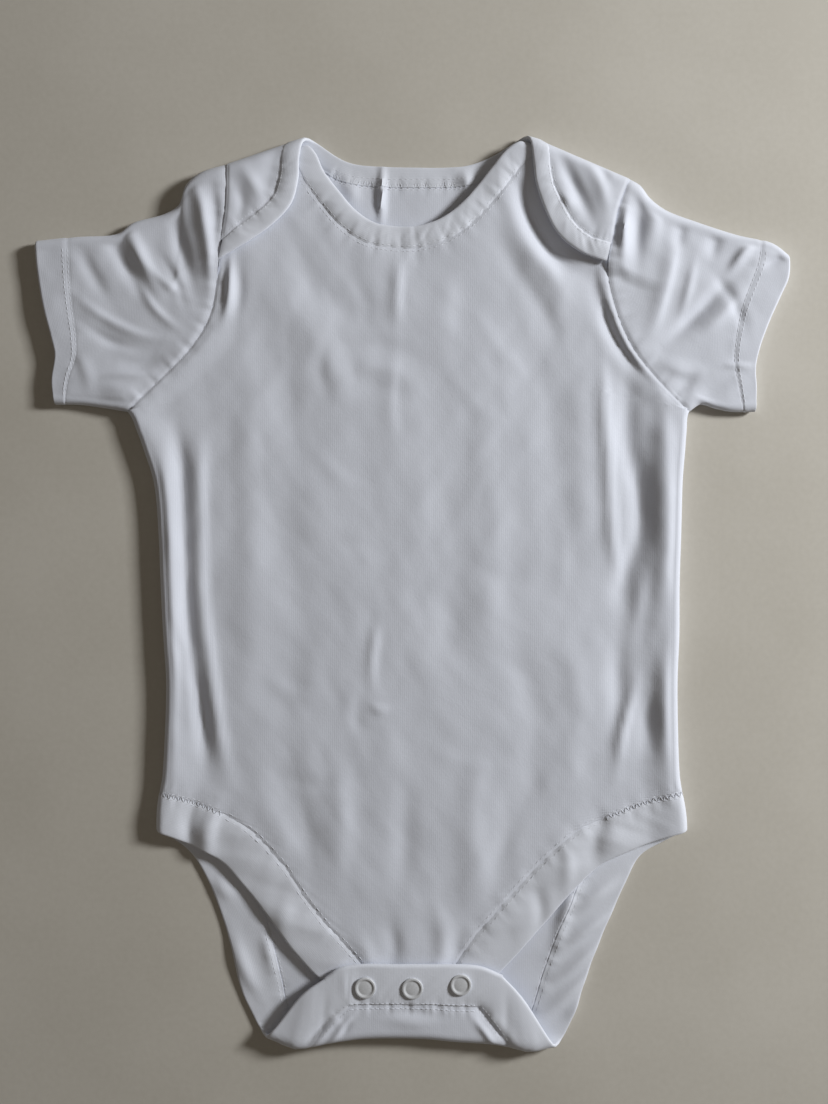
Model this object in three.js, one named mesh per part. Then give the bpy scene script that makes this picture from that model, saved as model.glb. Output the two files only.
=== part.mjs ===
// Short-sleeve baby bodysuit with a lap-shoulder neck, laid flat on its back with the front up.
// Millimetres, +X to the garment's right side as seen, +Y to the neck, +Z up from the surface.
// Every cloth piece is a sheet of its own flat cut, bent round the folds and given a wall.
import * as THREE from "three";

// Cloth
const WALL = 1.2;
const BAND_WALL = 1.6;
const HEM_WALL = 1.9;
const SEAM_GAP = 0.3;
const LEG_SEAM_GAP = 0.5;
const BACK_NECK_SEAM_GAP = 0.55;
const FRONT_NECK_SEAM_GAP = 1;
const ARMHOLE_GAP = 0.6;

// Heights above the surface and fold radii
const SIDE_RADIUS = 3.1;
const SIDE_HEIGHT = 2 * SIDE_RADIUS;
const SHOULDER_RADIUS = 4.2;
const STRAP_RADIUS = 2.1;
const STRAP_SETBACK = 1.1;
const CROTCH_RADIUS = 3.7;
const FLAP_TOP = 2 * CROTCH_RADIUS;
const LAP_TOP = 2 * SHOULDER_RADIUS;
const FRONT_PLATEAU = 4.4;
const STRAP_HEIGHT = 6.3;
const CROTCH_HEIGHT = 3.9;
const ARMHOLE_HEIGHT = 5.6;
const SLEEVE_HEIGHT = 5.2;

// Lengths of the cut
const HEM_DEPTH = 15;
const HEM_BLEND = 3;
const CROTCH_FOLD_Y = -196.5;
const FRONT_END_Y = -180.5;
const PLACKET_SEAM_Y = -180.5;
const SIDE_BOTTOM_Y = -86.5;
const UNDERARM_Y = 79.3;
const CHEST_Y = 100;
const PLACKET_LEFT_X = -27.2;
const PLACKET_RIGHT_X = 28.4;
const PLACKET_GAP = 0.1;

// Where heights change: along Y, in from an edge or down from the shoulder
const EDGE_TOP_BLEND = [72, CHEST_Y];
const EDGE_ROLL_BLEND = [4, 20];
const STRAP_UPPER_BLEND = [0, 40];
const STRAP_LOWER_BLEND = [40, 72];
const STRAP_UPPER_SHARE = 0.34;
const CROTCH_BLEND = [-110, -150];
const CREASE_EDGE_BLEND = [5, 14];
const CREASE_STRAP_BLEND = [8, 30];
const CREASE_CROTCH_BLEND = [-160, -140];
const BOTTOM_STRAY_BLEND = [-192, -168];
const LAP_END_BLEND = [141, 150];
const SLEEVE_SETTLE_BLEND = [0, 0.5];
const SLEEVE_FREE_SHARE = 0.12;
const SLEEVE_FREE_START = 0.2;
const SLEEVE_HOLD_SHARE = 0.08;

// Half outlines: the side line of the body at each height
const SIDE_LEFT = [
  // y, x
  [-112, -112.6], [-103.5, -112], [-89, -111], [-80, -109.4], [-60, -108.2], [-38, -107.7], [-18, -109],
  [4, -110.1], [26, -111], [48, -113], [62, -117.3], [70, -120.2], [79.3, -124.5], [95, -140],
];
const SIDE_RIGHT = [
  [-112, 120.8], [-103.5, 120.3], [-89, 118.5], [-80, 117], [-60, 116.2], [-38, 116], [-18, 116.8],
  [4, 116.9], [26, 117.6], [48, 118.2], [62, 119.3], [70, 119.9], [79.3, 121], [95, 130],
];

// Armhole seams in plan, from the underarm to the shoulder fold
const ARMHOLE_LEFT = [
  [-124.5, 79.3], [-111, 92.5], [-96.5, 107.5], [-88.5, 121], [-85.3, 137], [-83.2, 153], [-80.9, 168],
  [-80.5, 187.5],
];
const ARMHOLE_RIGHT = [
  [121, 79.3], [107, 93.5], [96, 107.5], [89.5, 122], [85.6, 137], [85.3, 146], [87.3, 156], [89.3, 167],
  [94.5, 181],
];

// Sleeve edges in plan, each from the body outwards or from the lower edge up
const SLEEVE_LEFT = {
  lower: [[-124.5, 79.3], [-137.5, 81.4], [-145, 82.4], [-156.5, 82.8]],
  upper: [[-80.5, 187.5], [-93, 183.5], [-98.8, 178.5], [-101.8, 170.3], [-108, 166.2], [-122.5, 162],
    [-129, 157.4], [-146.5, 156], [-165, 154]],
  cuff: [[-156.5, 82.8], [-157.6, 93], [-156.2, 104.5], [-157.6, 111], [-161.2, 125], [-164, 141],
    [-165, 154]],
};
const SLEEVE_RIGHT = {
  lower: [[121, 79.3], [126, 82.4], [133.5, 80.6], [140, 79.4], [150.2, 79.6]],
  upper: [[94.5, 181], [99.5, 178], [103.8, 172.6], [110.5, 167.7], [124.5, 162.5], [141.5, 157],
    [157.5, 153], [165, 147.5]],
  cuff: [[150.2, 79.6], [150.3, 90], [150, 99], [152, 108], [156.5, 120], [161.5, 131], [164.4, 138],
    [165, 147.5]],
};

// Cross-sections of each band, outer edge then seam, on the layer where they are seen
const BACK_NECK_BAND = [
  // outer x, outer y, seam x, seam y, layer
  [-84.1, 145.4, -82.2, 154.3, "lap"], [-70, 153.7, -73.8, 161.6, "lap"], [-60, 161, -65.4, 167.8, "lap"],
  [-52.5, 169.5, -60.1, 174, "lap"], [-49.5, 180, -58, 181.6, "lap"], [-49, 190, -57.3, 188.7, "lap"],
  [-33, 191.5, -38.2, 184.6, "back"], [-26, 188.6, -29.6, 180.4, "back"],
  [-14.5, 187.4, -15.4, 178.6, "back"],
  [0, 187, 0, 178.2, "back"], [14, 187, 14.8, 178.3, "back"], [24.5, 187.9, 27, 179.4, "back"],
  [37.5, 193.2, 42.8, 186, "back"], [52.3, 189, 59.9, 187.4, "lap"], [53.5, 179, 61.4, 178, "lap"],
  [57.5, 167, 65, 170.2, "lap"], [64, 155.3, 70.2, 161.4, "lap"], [73.5, 148, 77.4, 155.3, "lap"],
  [84.2, 144, 86.2, 152.6, "lap"],
];
const FRONT_NECK_BAND = [
  [-84.2, 149.4, -82.4, 157.8, "under"], [-71, 156.4, -74.8, 164, "under"],
  [-61, 163.6, -66.6, 170.4, "under"], [-53.5, 172.4, -61.4, 176.2, "under"],
  [-50, 184.5, -58.6, 184.6, "under"],
  [-43, 193, -51, 187, "front"], [-38.5, 184, -46.4, 178, "front"], [-32, 175.5, -39.4, 168.8, "front"],
  [-25, 167.5, -31, 159.4, "front"], [-17, 162, -20.8, 152.7, "front"], [-8, 160.3, -9.4, 150.5, "front"],
  [2, 160.3, 3.6, 150.7, "front"], [12, 163.5, 16.2, 154.6, "front"], [20.5, 169.5, 27, 162, "front"],
  [28, 177.5, 35.8, 171.3, "front"], [35.5, 187, 43.5, 181, "front"], [42, 194.3, 49.5, 187.8, "front"],
  [53.2, 183.5, 61.8, 183.2, "under"], [57.4, 171.4, 65.2, 174.6, "under"], [64, 160, 70.3, 166, "under"],
  [73.4, 152.5, 77.6, 160, "under"], [85.2, 147.8, 87.2, 156.2, "under"],
];
const LEG_BAND_LEFT = [
  [-29.5, -180.5, -13.4, -180.5, "front"], [-34, -173, -17.2, -168.6, "front"],
  [-42.5, -167, -28.2, -154.6, "front"], [-52.5, -156, -37.5, -144.5, "front"],
  [-62.5, -142.5, -47, -132, "front"], [-72.5, -129.5, -57.5, -116.8, "front"],
  [-84, -117, -71.5, -102.6, "front"], [-95, -111.2, -88, -93.7, "front"],
  [-104, -107, -101, -89.2, "front"], [-112, -103.5, -111, -86.5, "side"],
  [-104, -108.6, -100.6, -91.2, "back"], [-96.5, -115, -86, -100.5, "back"],
  [-89.5, -127, -73.5, -119, "back"], [-84, -141, -66.8, -135.6, "back"],
  [-79.5, -156, -61.8, -152.2, "back"], [-76, -172, -57.8, -168.6, "back"],
  [-71.5, -186.5, -54, -184, "back"], [-50, -176, -39, -190, "flap"],
  [-37.5, -167, -27.5, -180.5, "flap"],
];
const LEG_BAND_RIGHT = [
  [27.5, -180.5, 12.6, -180.5, "front"], [31.6, -173, 15.6, -168.5, "front"],
  [39, -165.4, 25.4, -152, "front"], [49.4, -154, 36, -139.6, "front"], [60, -142, 47, -127, "front"],
  [72, -128.5, 59.5, -114, "front"], [83, -118.5, 73, -103, "front"], [95, -112.8, 89.5, -95.6, "front"],
  [108, -107.6, 105, -90, "front"], [120.3, -103.5, 118.4, -86.5, "side"],
  [110.5, -109, 106.4, -91.4, "back"], [100, -115.4, 90, -100.4, "back"], [93.2, -128, 76, -121, "back"],
  [87.4, -141, 70, -135.2, "back"], [81.6, -154.5, 64, -149.2, "back"], [76.2, -169, 58.4, -164.6, "back"],
  [70.4, -186, 52, -183, "back"], [51.5, -179.6, 38, -191, "flap"], [38.8, -166, 28.8, -180.5, "flap"],
];

// Top edge of the crotch placket, left to right, on the flap
const PLACKET_EDGE = [
  [-37, -166.6], [-32, -162.9], [-23.5, -161.4], [-8, -161.4], [8, -161.4], [21, -161.4], [30, -162.4],
  [38.3, -165.6],
];

// How far the bottom fold strays from its straight line
const CROTCH_WAVE = [
  // x, rise
  [-72, 4.6], [-66, 3.2], [-57, -0.4], [-47, -2], [-34, 0.2], [-20, 1.9], [4, 1.9], [18, 0.6], [35, -0.6],
  [49, -2.8], [60, -2.2], [70, -0.4],
];

// Ring snaps on the placket, left to right
const SNAPS = [
  // x, y
  [-20.5, -171.2], [0, -171.5], [21, -169.8],
];
const SNAP_RADIUS = 4.6;
const SNAP_RIM_HEIGHT = 0.55;
const SNAP_BEVEL = 0.3;
const SNAP_SHOULDER_HEIGHT = 0.95;
const SNAP_RISE = 1.1;
const SNAP_RING_WIDTH = 0.5;
const SNAP_WELL_HEIGHT = 0.5;
const SNAP_CROWN_RADIUS = 1.2;
const SNAP_CROWN_HEIGHT = 0.8;
const STUD_RADIUS = 4;
const STUD_EDGE = 0.5;
const STUD_EDGE_SHARE = 0.6;
const ROUND_FACETS = 20;

// Ridges and troughs of the front and of the sleeves, as straight soft creases
const FRONT_CREASES = [
  // x0, y0, x1, y1, half width, rise
  [-97, 70, -95, -3, 5, -0.8], [-93, -8, -87, -80, 5, -0.6], [-101, 20, -102, -60, 4, 0.5],
  [-80.5, 147, -82, 120, 4, 1], [-24, 120, 10, 108, 9, 0.5], [-14, 100, 6, 92, 8, -0.4],
  [50, 178, 80, 146, 8, -0.9], [80, 138, 92, 116, 6, -0.9], [84, 99, 90, 8, 4, 0.8],
  [98, 90, 104, 30, 6, -0.9], [97, 8, 95, -14, 6, -0.8], [92, -24, 91, -60, 5, -0.7],
  [97, -42, 89, -78, 4, 0.8], [-34, -74, -32, -124, 8, 0.4], [-3, -78, -4, -120, 8, -0.4],
  [30, -72, 26, -128, 8, 0.4],
];
const SLEEVE_CREASES = [
  [-134, 155, -117, 128, 5, -1], [-126, 158, -114, 132, 5, 0.9], [-104, 164, -96, 132, 5, -1.1],
  [-92, 181, -87, 140, 4, 0.9], [-126, 95, -116, 97, 4, 0.6], [99, 172, 97, 140, 4, -1.1],
  [92.5, 160, 92, 143, 4, 0.8], [114, 160, 106, 112, 5, 0.8], [139, 138, 113, 110, 5, -1],
];

// Grid steps across and along the panels, as shares of the way
const COLUMNS = [0, 0.011, 0.022, 0.06, 0.1, 0.15, 0.21, 0.28, 0.35, 0.42, 0.5,
  0.58, 0.65, 0.72, 0.79, 0.85, 0.9, 0.94, 0.978, 0.989, 1];
const SHOULDER_COLUMNS = [0, 0.05, 0.1, 0.32, 0.62, 1];
const NECK_COLUMNS = 10;
const LEG_ROWS = 12;
const SIDE_ROWS = 12;
const ARMHOLE_ROWS = 10;
const LAP_ROWS = [0, 0.08, 0.16, 0.24, 0.32, 0.42, 0.56, 0.7, 0.85, 1];
const FLAP_ROWS = [0, 0.12, 0.24, 0.36, 0.48, 0.6, 0.8, 1];
const LEG_BAND_STEP = 6;
const NECK_BAND_STEP = 3.4;
const BAND_COLUMNS = 2;
const PLACKET_COLUMNS = 12;
const PLACKET_ROWS = 4;
const SLEEVE_RINGS = [0, 0.07, 0.15, 0.24, 0.34, 0.45, 0.56, 0.67, 0.77, 0.84, 0.92, 1];
const SLEEVE_ACROSS = 9;
const SLEEVE_TURN = 4;
const NORMAL_STEP = 0.02;
const SLEEVE_NORMAL_STEP = 0.004;
const QUARTER_ROLL = SIDE_RADIUS * (Math.PI / 2 - 1);

// Small number helpers
const mix = (a, b, t) => a + (b - a) * t;

function ease(from, to, value) {
  const t = Math.min(1, Math.max(0, (value - from) / (to - from)));
  return t * t * (3 - 2 * t);
}

// Smooth value from a table of [place, value] rows
function track(rows, at) {
  const last = rows.length - 1;
  if (at <= rows[0][0]) return rows[0][1];
  if (at >= rows[last][0]) return rows[last][1];
  let i = 0;
  while (at > rows[i + 1][0]) i += 1;
  const [x1, y1] = rows[i];
  const [x2, y2] = rows[i + 1];
  const [x0, y0] = rows[Math.max(0, i - 1)];
  const [x3, y3] = rows[Math.min(last, i + 2)];
  const slope1 = (y2 - y0) / (x2 - x0);
  const slope2 = (y3 - y1) / (x3 - x1);
  const span = x2 - x1;
  const t = (at - x1) / span;
  const t2 = t * t;
  const t3 = t2 * t;
  return (2 * t3 - 3 * t2 + 1) * y1 + (t3 - 2 * t2 + t) * span * slope1
    + (3 * t2 - 2 * t3) * y2 + (t3 - t2) * span * slope2;
}

// Smooth plan curve through points
function curveThrough(points) {
  const spots = points.map(([x, y]) => new THREE.Vector3(x, y, 0));
  const curve = new THREE.CatmullRomCurve3(spots, false, "centripetal");
  curve.arcLengthDivisions = 400;
  return curve;
}

const pointOn = (curve, share) => {
  const p = curve.getPointAt(share);
  return [p.x, p.y];
};

const samples = (curve, shares) => shares.map((share) => pointOn(curve, share));
const evenShares = (count) => Array.from({ length: count + 1 }, (_, i) => i / count);
const between = (from, to, shares) => shares.map((t) => mix(from, to, t));
const lastOf = (list) => list[list.length - 1];

// Share between two others at which a test turns from true to false
function shareWhere(test, from, to) {
  let low = from;
  let high = to;
  for (let i = 0; i < 40; i += 1) {
    const middle = (low + high) / 2;
    if (test(middle)) low = middle;
    else high = middle;
  }
  return (low + high) / 2;
}

// The folds: where the roll starts, which way it goes and its radius
function straightFold(from, to, radius, outward) {
  const along = new THREE.Vector2(to[0] - from[0], to[1] - from[1]).normalize();
  let normal = new THREE.Vector2(-along.y, along.x);
  if (normal.y * outward < 0) normal = normal.negate();
  return {
    x: from[0] - normal.x * radius,
    y: from[1] - normal.y * radius,
    nx: normal.x,
    ny: normal.y,
    radius,
  };
}

const SHOULDER_LEFT = straightFold([-48, 198.6], [-80.5, 187.5], SHOULDER_RADIUS, 1);
const SHOULDER_RIGHT = straightFold([51.5, 199.5], [94.5, 181], SHOULDER_RADIUS, 1);
const CROTCH = straightFold([-1, CROTCH_FOLD_Y], [1, CROTCH_FOLD_Y], CROTCH_RADIUS, -1);
const strapFold = (fold) => ({
  ...fold,
  x: fold.x - fold.nx * STRAP_SETBACK,
  y: fold.y - fold.ny * STRAP_SETBACK,
  radius: STRAP_RADIUS,
});

const beyond = (x, y, fold) => fold.nx * (x - fold.x) + fold.ny * (y - fold.y);

// Where a flat point lands once the cloth has rolled over a fold, and how far it has climbed
function rollOver(x, y, fold) {
  const run = beyond(x, y, fold);
  const arc = Math.PI * fold.radius;
  const reach = run < arc ? fold.radius * Math.sin(run / fold.radius) : arc - run;
  const climb = run < arc ? fold.radius * (1 - Math.cos(run / fold.radius)) : 2 * fold.radius;
  return { x: x + fold.nx * (reach - run), y: y + fold.ny * (reach - run), climb };
}

// The flat place of a point that is seen on the folded-over layer
function unfold(x, y, fold) {
  const inside = -beyond(x, y, fold);
  const turn = Math.PI - Math.asin(Math.min(1, Math.max(0, -inside / fold.radius)));
  const run = inside >= 0 ? Math.PI * fold.radius + inside : fold.radius * turn;
  return [x + fold.nx * (run + inside), y + fold.ny * (run + inside)];
}

// The flat place of a point on the rising half of a fold
function unfoldRising(x, y, fold) {
  const reach = beyond(x, y, fold);
  if (reach <= 0) return [x, y];
  const run = fold.radius * Math.asin(Math.min(1, reach / fold.radius));
  return [x + fold.nx * (run - reach), y + fold.ny * (run - reach)];
}

const shoulderOf = (x) => (x < 0 ? SHOULDER_LEFT : SHOULDER_RIGHT);
const sideLeft = (y) => track(SIDE_LEFT, y);
const sideRight = (y) => track(SIDE_RIGHT, y);

// The roll round the side seam, a quarter turn from each panel
function sideFold(x, y) {
  const sign = x < 0 ? -1 : 1;
  const line = x < 0 ? sideLeft(y) : sideRight(y);
  return { x: line - sign * SIDE_RADIUS, y, nx: sign, ny: 0, radius: SIDE_RADIUS };
}

const flatOnSide = (x, y) => unfoldRising(x, y, sideFold(x, y));

// The front's outline at each height, side and armhole in one
const armholeRows = (points) => points.map(([x, y]) => [y, x]);
const FRONT_EDGE_LEFT = [...SIDE_LEFT.slice(0, -2), ...armholeRows(ARMHOLE_LEFT)];
const FRONT_EDGE_RIGHT = [...SIDE_RIGHT.slice(0, -2), ...armholeRows(ARMHOLE_RIGHT)];
const insetOf = (x, y) => Math.min(x - track(FRONT_EDGE_LEFT, y), track(FRONT_EDGE_RIGHT, y) - x);

// Rise of one soft straight crease at a point
function creaseRise(x, y, [x0, y0, x1, y1, halfWidth, rise]) {
  const length = Math.hypot(x1 - x0, y1 - y0);
  const along = ((x - x0) * (x1 - x0) + (y - y0) * (y1 - y0)) / length;
  const across = ((x - x0) * (y1 - y0) - (y - y0) * (x1 - x0)) / length;
  const past = Math.max(0, -along, along - length);
  return rise * Math.exp(-((across / halfWidth) ** 2) - (past / (2 * halfWidth)) ** 2);
}

const relief = (x, y, creases) => creases.reduce((sum, row) => sum + creaseRise(x, y, row), 0);

// Height of the front's outer face over the surface
function frontHeight(x, y) {
  const inset = insetOf(x, y);
  const strap = -beyond(x, y, shoulderOf(x));
  const edgeTop = mix(SIDE_HEIGHT, ARMHOLE_HEIGHT, ease(...EDGE_TOP_BLEND, y));
  const edgeRise = (edgeTop - FRONT_PLATEAU) * (1 - ease(...EDGE_ROLL_BLEND, inset));
  const strapLoss = mix(
    ease(...STRAP_LOWER_BLEND, strap), ease(...STRAP_UPPER_BLEND, strap), STRAP_UPPER_SHARE);
  const strapRise = (STRAP_HEIGHT - FRONT_PLATEAU) * (1 - strapLoss);
  const crotchDrop = (FRONT_PLATEAU - CROTCH_HEIGHT) * ease(...CROTCH_BLEND, y);
  const free = ease(...CREASE_EDGE_BLEND, inset) * ease(...CREASE_STRAP_BLEND, strap)
    * ease(...CREASE_CROTCH_BLEND, y);
  return FRONT_PLATEAU + Math.max(edgeRise, strapRise) - crotchDrop + free * relief(x, y, FRONT_CREASES);
}

// The bottom fold isn't straight: every layer there strays together
function strayed(x, y, z) {
  const share = 1 - ease(...BOTTOM_STRAY_BLEND, y);
  return new THREE.Vector3(x, y + share * track(CROTCH_WAVE, x), z);
}

// Outer face of the back panel and all that is sewn to it, from a point of its flat cut
function placeBack(x, y) {
  const shoulder = shoulderOf(x);
  if (y > CHEST_Y && beyond(x, y, shoulder) > 0) {
    const spot = rollOver(x, y, shoulder);
    return strayed(spot.x, spot.y, spot.climb);
  }
  if (beyond(x, y, CROTCH) > 0) {
    const spot = rollOver(x, y, CROTCH);
    return strayed(spot.x, spot.y, spot.climb);
  }
  const side = sideFold(x, y);
  if (beyond(x, y, side) > 0) {
    const spot = rollOver(x, y, side);
    return strayed(spot.x, spot.y, spot.climb);
  }
  return strayed(x, y, 0);
}

// Outer face of the front panel and all that is sewn to it
function placeFront(x, y) {
  const strap = strapFold(shoulderOf(x));
  if (y > CHEST_Y && beyond(x, y, strap) > 0) {
    const spot = rollOver(x, y, strap);
    return strayed(spot.x, spot.y, STRAP_HEIGHT - spot.climb);
  }
  const side = sideFold(x, y);
  if (beyond(x, y, side) > 0) {
    const spot = rollOver(x, y, side);
    return strayed(spot.x, spot.y, frontHeight(side.x, y) - spot.climb);
  }
  return strayed(x, y, frontHeight(x, y));
}

// A point of the wall: its outer spot, and the spot a wall's thickness inside
function wallPoint(place, x, y, inward, wall) {
  const outer = place(x, y);
  const dx = place(x + NORMAL_STEP, y).sub(place(x - NORMAL_STEP, y));
  const dy = place(x, y + NORMAL_STEP).sub(place(x, y - NORMAL_STEP));
  const normal = dx.cross(dy).normalize().multiplyScalar(inward * wall);
  return { outer, inner: outer.clone().add(normal) };
}

const backPoint = (wall) => ([x, y]) => wallPoint(placeBack, x, y, 1, wall);
const frontPoint = (wall) => ([x, y]) => wallPoint(placeFront, x, y, -1, wall);
const wallBlock = (block, pointOf) => block.map((row) => row.map(pointOf));

// Closes blocks of wall points into one solid: outer face, inner face and rim
function clothGeometry(blocks) {
  const outers = [];
  const inners = [];
  const known = new Map();
  const indexOf = ({ outer, inner }) => {
    const key = outer.toArray().map((v) => Math.round(v * 1000)).join(",");
    if (!known.has(key)) {
      known.set(key, outers.length);
      outers.push(outer);
      inners.push(inner);
    }
    return known.get(key);
  };
  const faces = [];
  const addFace = (a, b, c) => {
    if (a !== b && b !== c && c !== a) faces.push([a, b, c]);
  };
  for (const block of blocks) {
    const grid = block.map((row) => row.map(indexOf));
    for (let i = 0; i + 1 < grid.length; i += 1) {
      for (let j = 0; j + 1 < grid[i].length; j += 1) {
        addFace(grid[i][j], grid[i][j + 1], grid[i + 1][j + 1]);
        addFace(grid[i][j], grid[i + 1][j + 1], grid[i + 1][j]);
      }
    }
  }
  const edges = new Set(faces.flatMap(([a, b, c]) => [`${a}_${b}`, `${b}_${c}`, `${c}_${a}`]));
  const count = outers.length;
  const triangles = faces.flatMap(([a, b, c]) => [a, b, c, a + count, c + count, b + count]);
  for (const edge of edges) {
    const [a, b] = edge.split("_").map(Number);
    if (!edges.has(`${b}_${a}`)) triangles.push(b, a, a + count, b, a + count, b + count);
  }
  return outwardGeometry([...outers, ...inners], triangles);
}

// Triangles whose volume comes out negative face inwards, so they are turned round
function outwardGeometry(points, triangles) {
  let volume = 0;
  for (let i = 0; i < triangles.length; i += 3) {
    const [a, b, c] = [points[triangles[i]], points[triangles[i + 1]], points[triangles[i + 2]]];
    volume += a.dot(b.clone().cross(c));
  }
  const faces = volume < 0 ? triangles.slice().reverse() : triangles;
  const geometry = new THREE.BufferGeometry();
  geometry.setAttribute("position", new THREE.Float32BufferAttribute(points.flatMap((p) => p.toArray()), 3));
  geometry.setIndex(faces);
  geometry.computeVertexNormals();
  return geometry;
}

// Grid of flat points between four edges that share their corners
function fillBetween(bottom, top, left, right, columns, rows) {
  const corner = (k, u, v) => mix(
    mix(bottom[0][k], top[0][k], v), mix(lastOf(bottom)[k], lastOf(top)[k], v), u);
  return rows.map((v, j) => columns.map((u, i) => [0, 1].map((k) => (
    mix(bottom[i][k], top[i][k], v) + mix(left[j][k], right[j][k], u) - corner(k, u, v)))));
}

const straight = (from, to, shares) => shares.map((t) => [mix(from[0], to[0], t), mix(from[1], to[1], t)]);
const joined = (...runs) => runs.flatMap((run, i) => (i ? run.slice(1) : run));

// Share of the way along a neck edge at which it leaves the cloth that rolls over a fold
const shareAtFold = (curve, fold, from, to) => shareWhere(
  (share) => beyond(...pointOn(curve, share), fold) > 0, from, to);

// Flat cut of a band's cross-sections
function flatSection([outerX, outerY, seamX, seamY, layer]) {
  const spread = {
    lap: (x, y) => unfold(x, y, shoulderOf(x)),
    under: (x, y) => unfold(x, y, strapFold(shoulderOf(x))),
    flap: (x, y) => unfold(x, y, CROTCH),
    side: (x, y) => [x + Math.sign(x) * QUARTER_ROLL, y],
    back: (x, y) => [x, y],
    front: (x, y) => [x, y],
  }[layer];
  return { outer: spread(outerX, outerY), seam: spread(seamX, seamY) };
}

function bandCurves(rows, gap) {
  const flat = rows.map(flatSection);
  const inset = flat.map(({ outer, seam }) => {
    const width = Math.hypot(seam[0] - outer[0], seam[1] - outer[1]);
    return [0, 1].map((k) => seam[k] + ((seam[k] - outer[k]) * gap) / width);
  });
  return {
    outer: curveThrough(flat.map((section) => section.outer)),
    seam: curveThrough(flat.map((section) => section.seam)),
    panel: curveThrough(inset),
  };
}

// Rows of flat points across a band
function bandRows(curves, step) {
  const count = Math.ceil(curves.outer.getLength() / step);
  return evenShares(count).map((share) => {
    const outer = curves.outer.getPoint(share);
    const seam = curves.seam.getPoint(share);
    return straight([outer.x, outer.y], [seam.x, seam.y], evenShares(BAND_COLUMNS));
  });
}

const BACK_NECK = bandCurves(BACK_NECK_BAND, BACK_NECK_SEAM_GAP);
const FRONT_NECK = bandCurves(FRONT_NECK_BAND, FRONT_NECK_SEAM_GAP);
const sideRow = (rows) => rows.findIndex((row) => row[4] === "side");
const frontOf = (rows) => rows.slice(0, sideRow(rows) + 1);
const backOf = (rows) => rows.slice(sideRow(rows));
const legCurves = (rows) => ({
  front: bandCurves(frontOf(rows), LEG_SEAM_GAP),
  back: bandCurves(backOf(rows), LEG_SEAM_GAP),
});
const LEGS = { left: legCurves(LEG_BAND_LEFT), right: legCurves(LEG_BAND_RIGHT) };

// Side edge of a panel between the leg band and the underarm
function sideEdge(sideAt, sign) {
  return between(SIDE_BOTTOM_Y + SEAM_GAP, UNDERARM_Y, evenShares(SIDE_ROWS)).map((y) => [
    sideAt(y) + sign * (QUARTER_ROLL - SEAM_GAP / 2),
    y,
  ]);
}

// Armhole edge in plan, moved off the seam line towards the body or the sleeve
function armholePlan(points, sign, toBody) {
  const curve = curveThrough(points);
  const shift = sign * (toBody ? -1 : 1) * (ARMHOLE_GAP / 2);
  return (share) => {
    const [x, y] = pointOn(curve, share);
    const tangent = curve.getTangentAt(share);
    return [x + tangent.y * shift, y - tangent.x * shift];
  };
}

// Where the armhole meets the line on which the shoulder starts to roll
const armholeFoldShare = (plan, fold) => shareWhere((share) => beyond(...plan(share), fold) <= 0, 0.6, 1);

function armholeEdge(points, sign, fold) {
  const plan = armholePlan(points, sign, true);
  const start = armholeFoldShare(plan, fold);
  const shares = between(0, start, evenShares(ARMHOLE_ROWS));
  return shares.map((share) => flatOnSide(...plan(share)));
}

// Armhole edge of the cloth that rolls over the shoulder, down to its own seam
function lapArmhole(points, sign, fold, end, rows) {
  const plan = armholePlan(points, sign, true);
  const start = armholeFoldShare(plan, fold);
  const stop = shareWhere((share) => plan(share)[1] <= end[1], 0.3, start);
  const reach = Math.PI * fold.radius;
  const foot = plan(start);
  const crest = plan(Math.min(1, start + 0.001));
  const climb = beyond(...crest, fold) - beyond(...foot, fold);
  const perReach = [0, 1].map((k) => (crest[k] - foot[k]) / climb);
  const total = reach + (beyond(...foot, fold) - beyond(...end, fold));
  return rows.map((row) => {
    const run = row * total;
    if (run < reach) {
      const out = fold.radius * Math.sin(run / fold.radius);
      const plain = foot.map((v, k) => v + perReach[k] * out);
      return [plain[0] + fold.nx * (run - out), plain[1] + fold.ny * (run - out)];
    }
    return unfold(...plan(mix(start, stop, (run - reach) / (total - reach))), fold);
  });
}

// One shoulder of a panel, past the line where the roll starts
function shoulderBlock(side, curves, fold, rowShares, foldShare, points, start) {
  const sign = side === "left" ? -1 : 1;
  const tipShare = side === "left" ? 0 : 1;
  const bendShare = mix(foldShare, tipShare, 0.5);
  const seen = rollOver(...pointOn(curves.panel, tipShare), fold);
  const armhole = lapArmhole(points, sign, fold, [seen.x, seen.y], rowShares);
  const neck = samples(curves.panel, between(foldShare, bendShare, rowShares));
  const edge = samples(curves.panel, between(tipShare, bendShare, SHOULDER_COLUMNS));
  edge[0] = lastOf(armhole);
  return fillBetween(start, edge, armhole, neck, SHOULDER_COLUMNS, rowShares);
}

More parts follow.
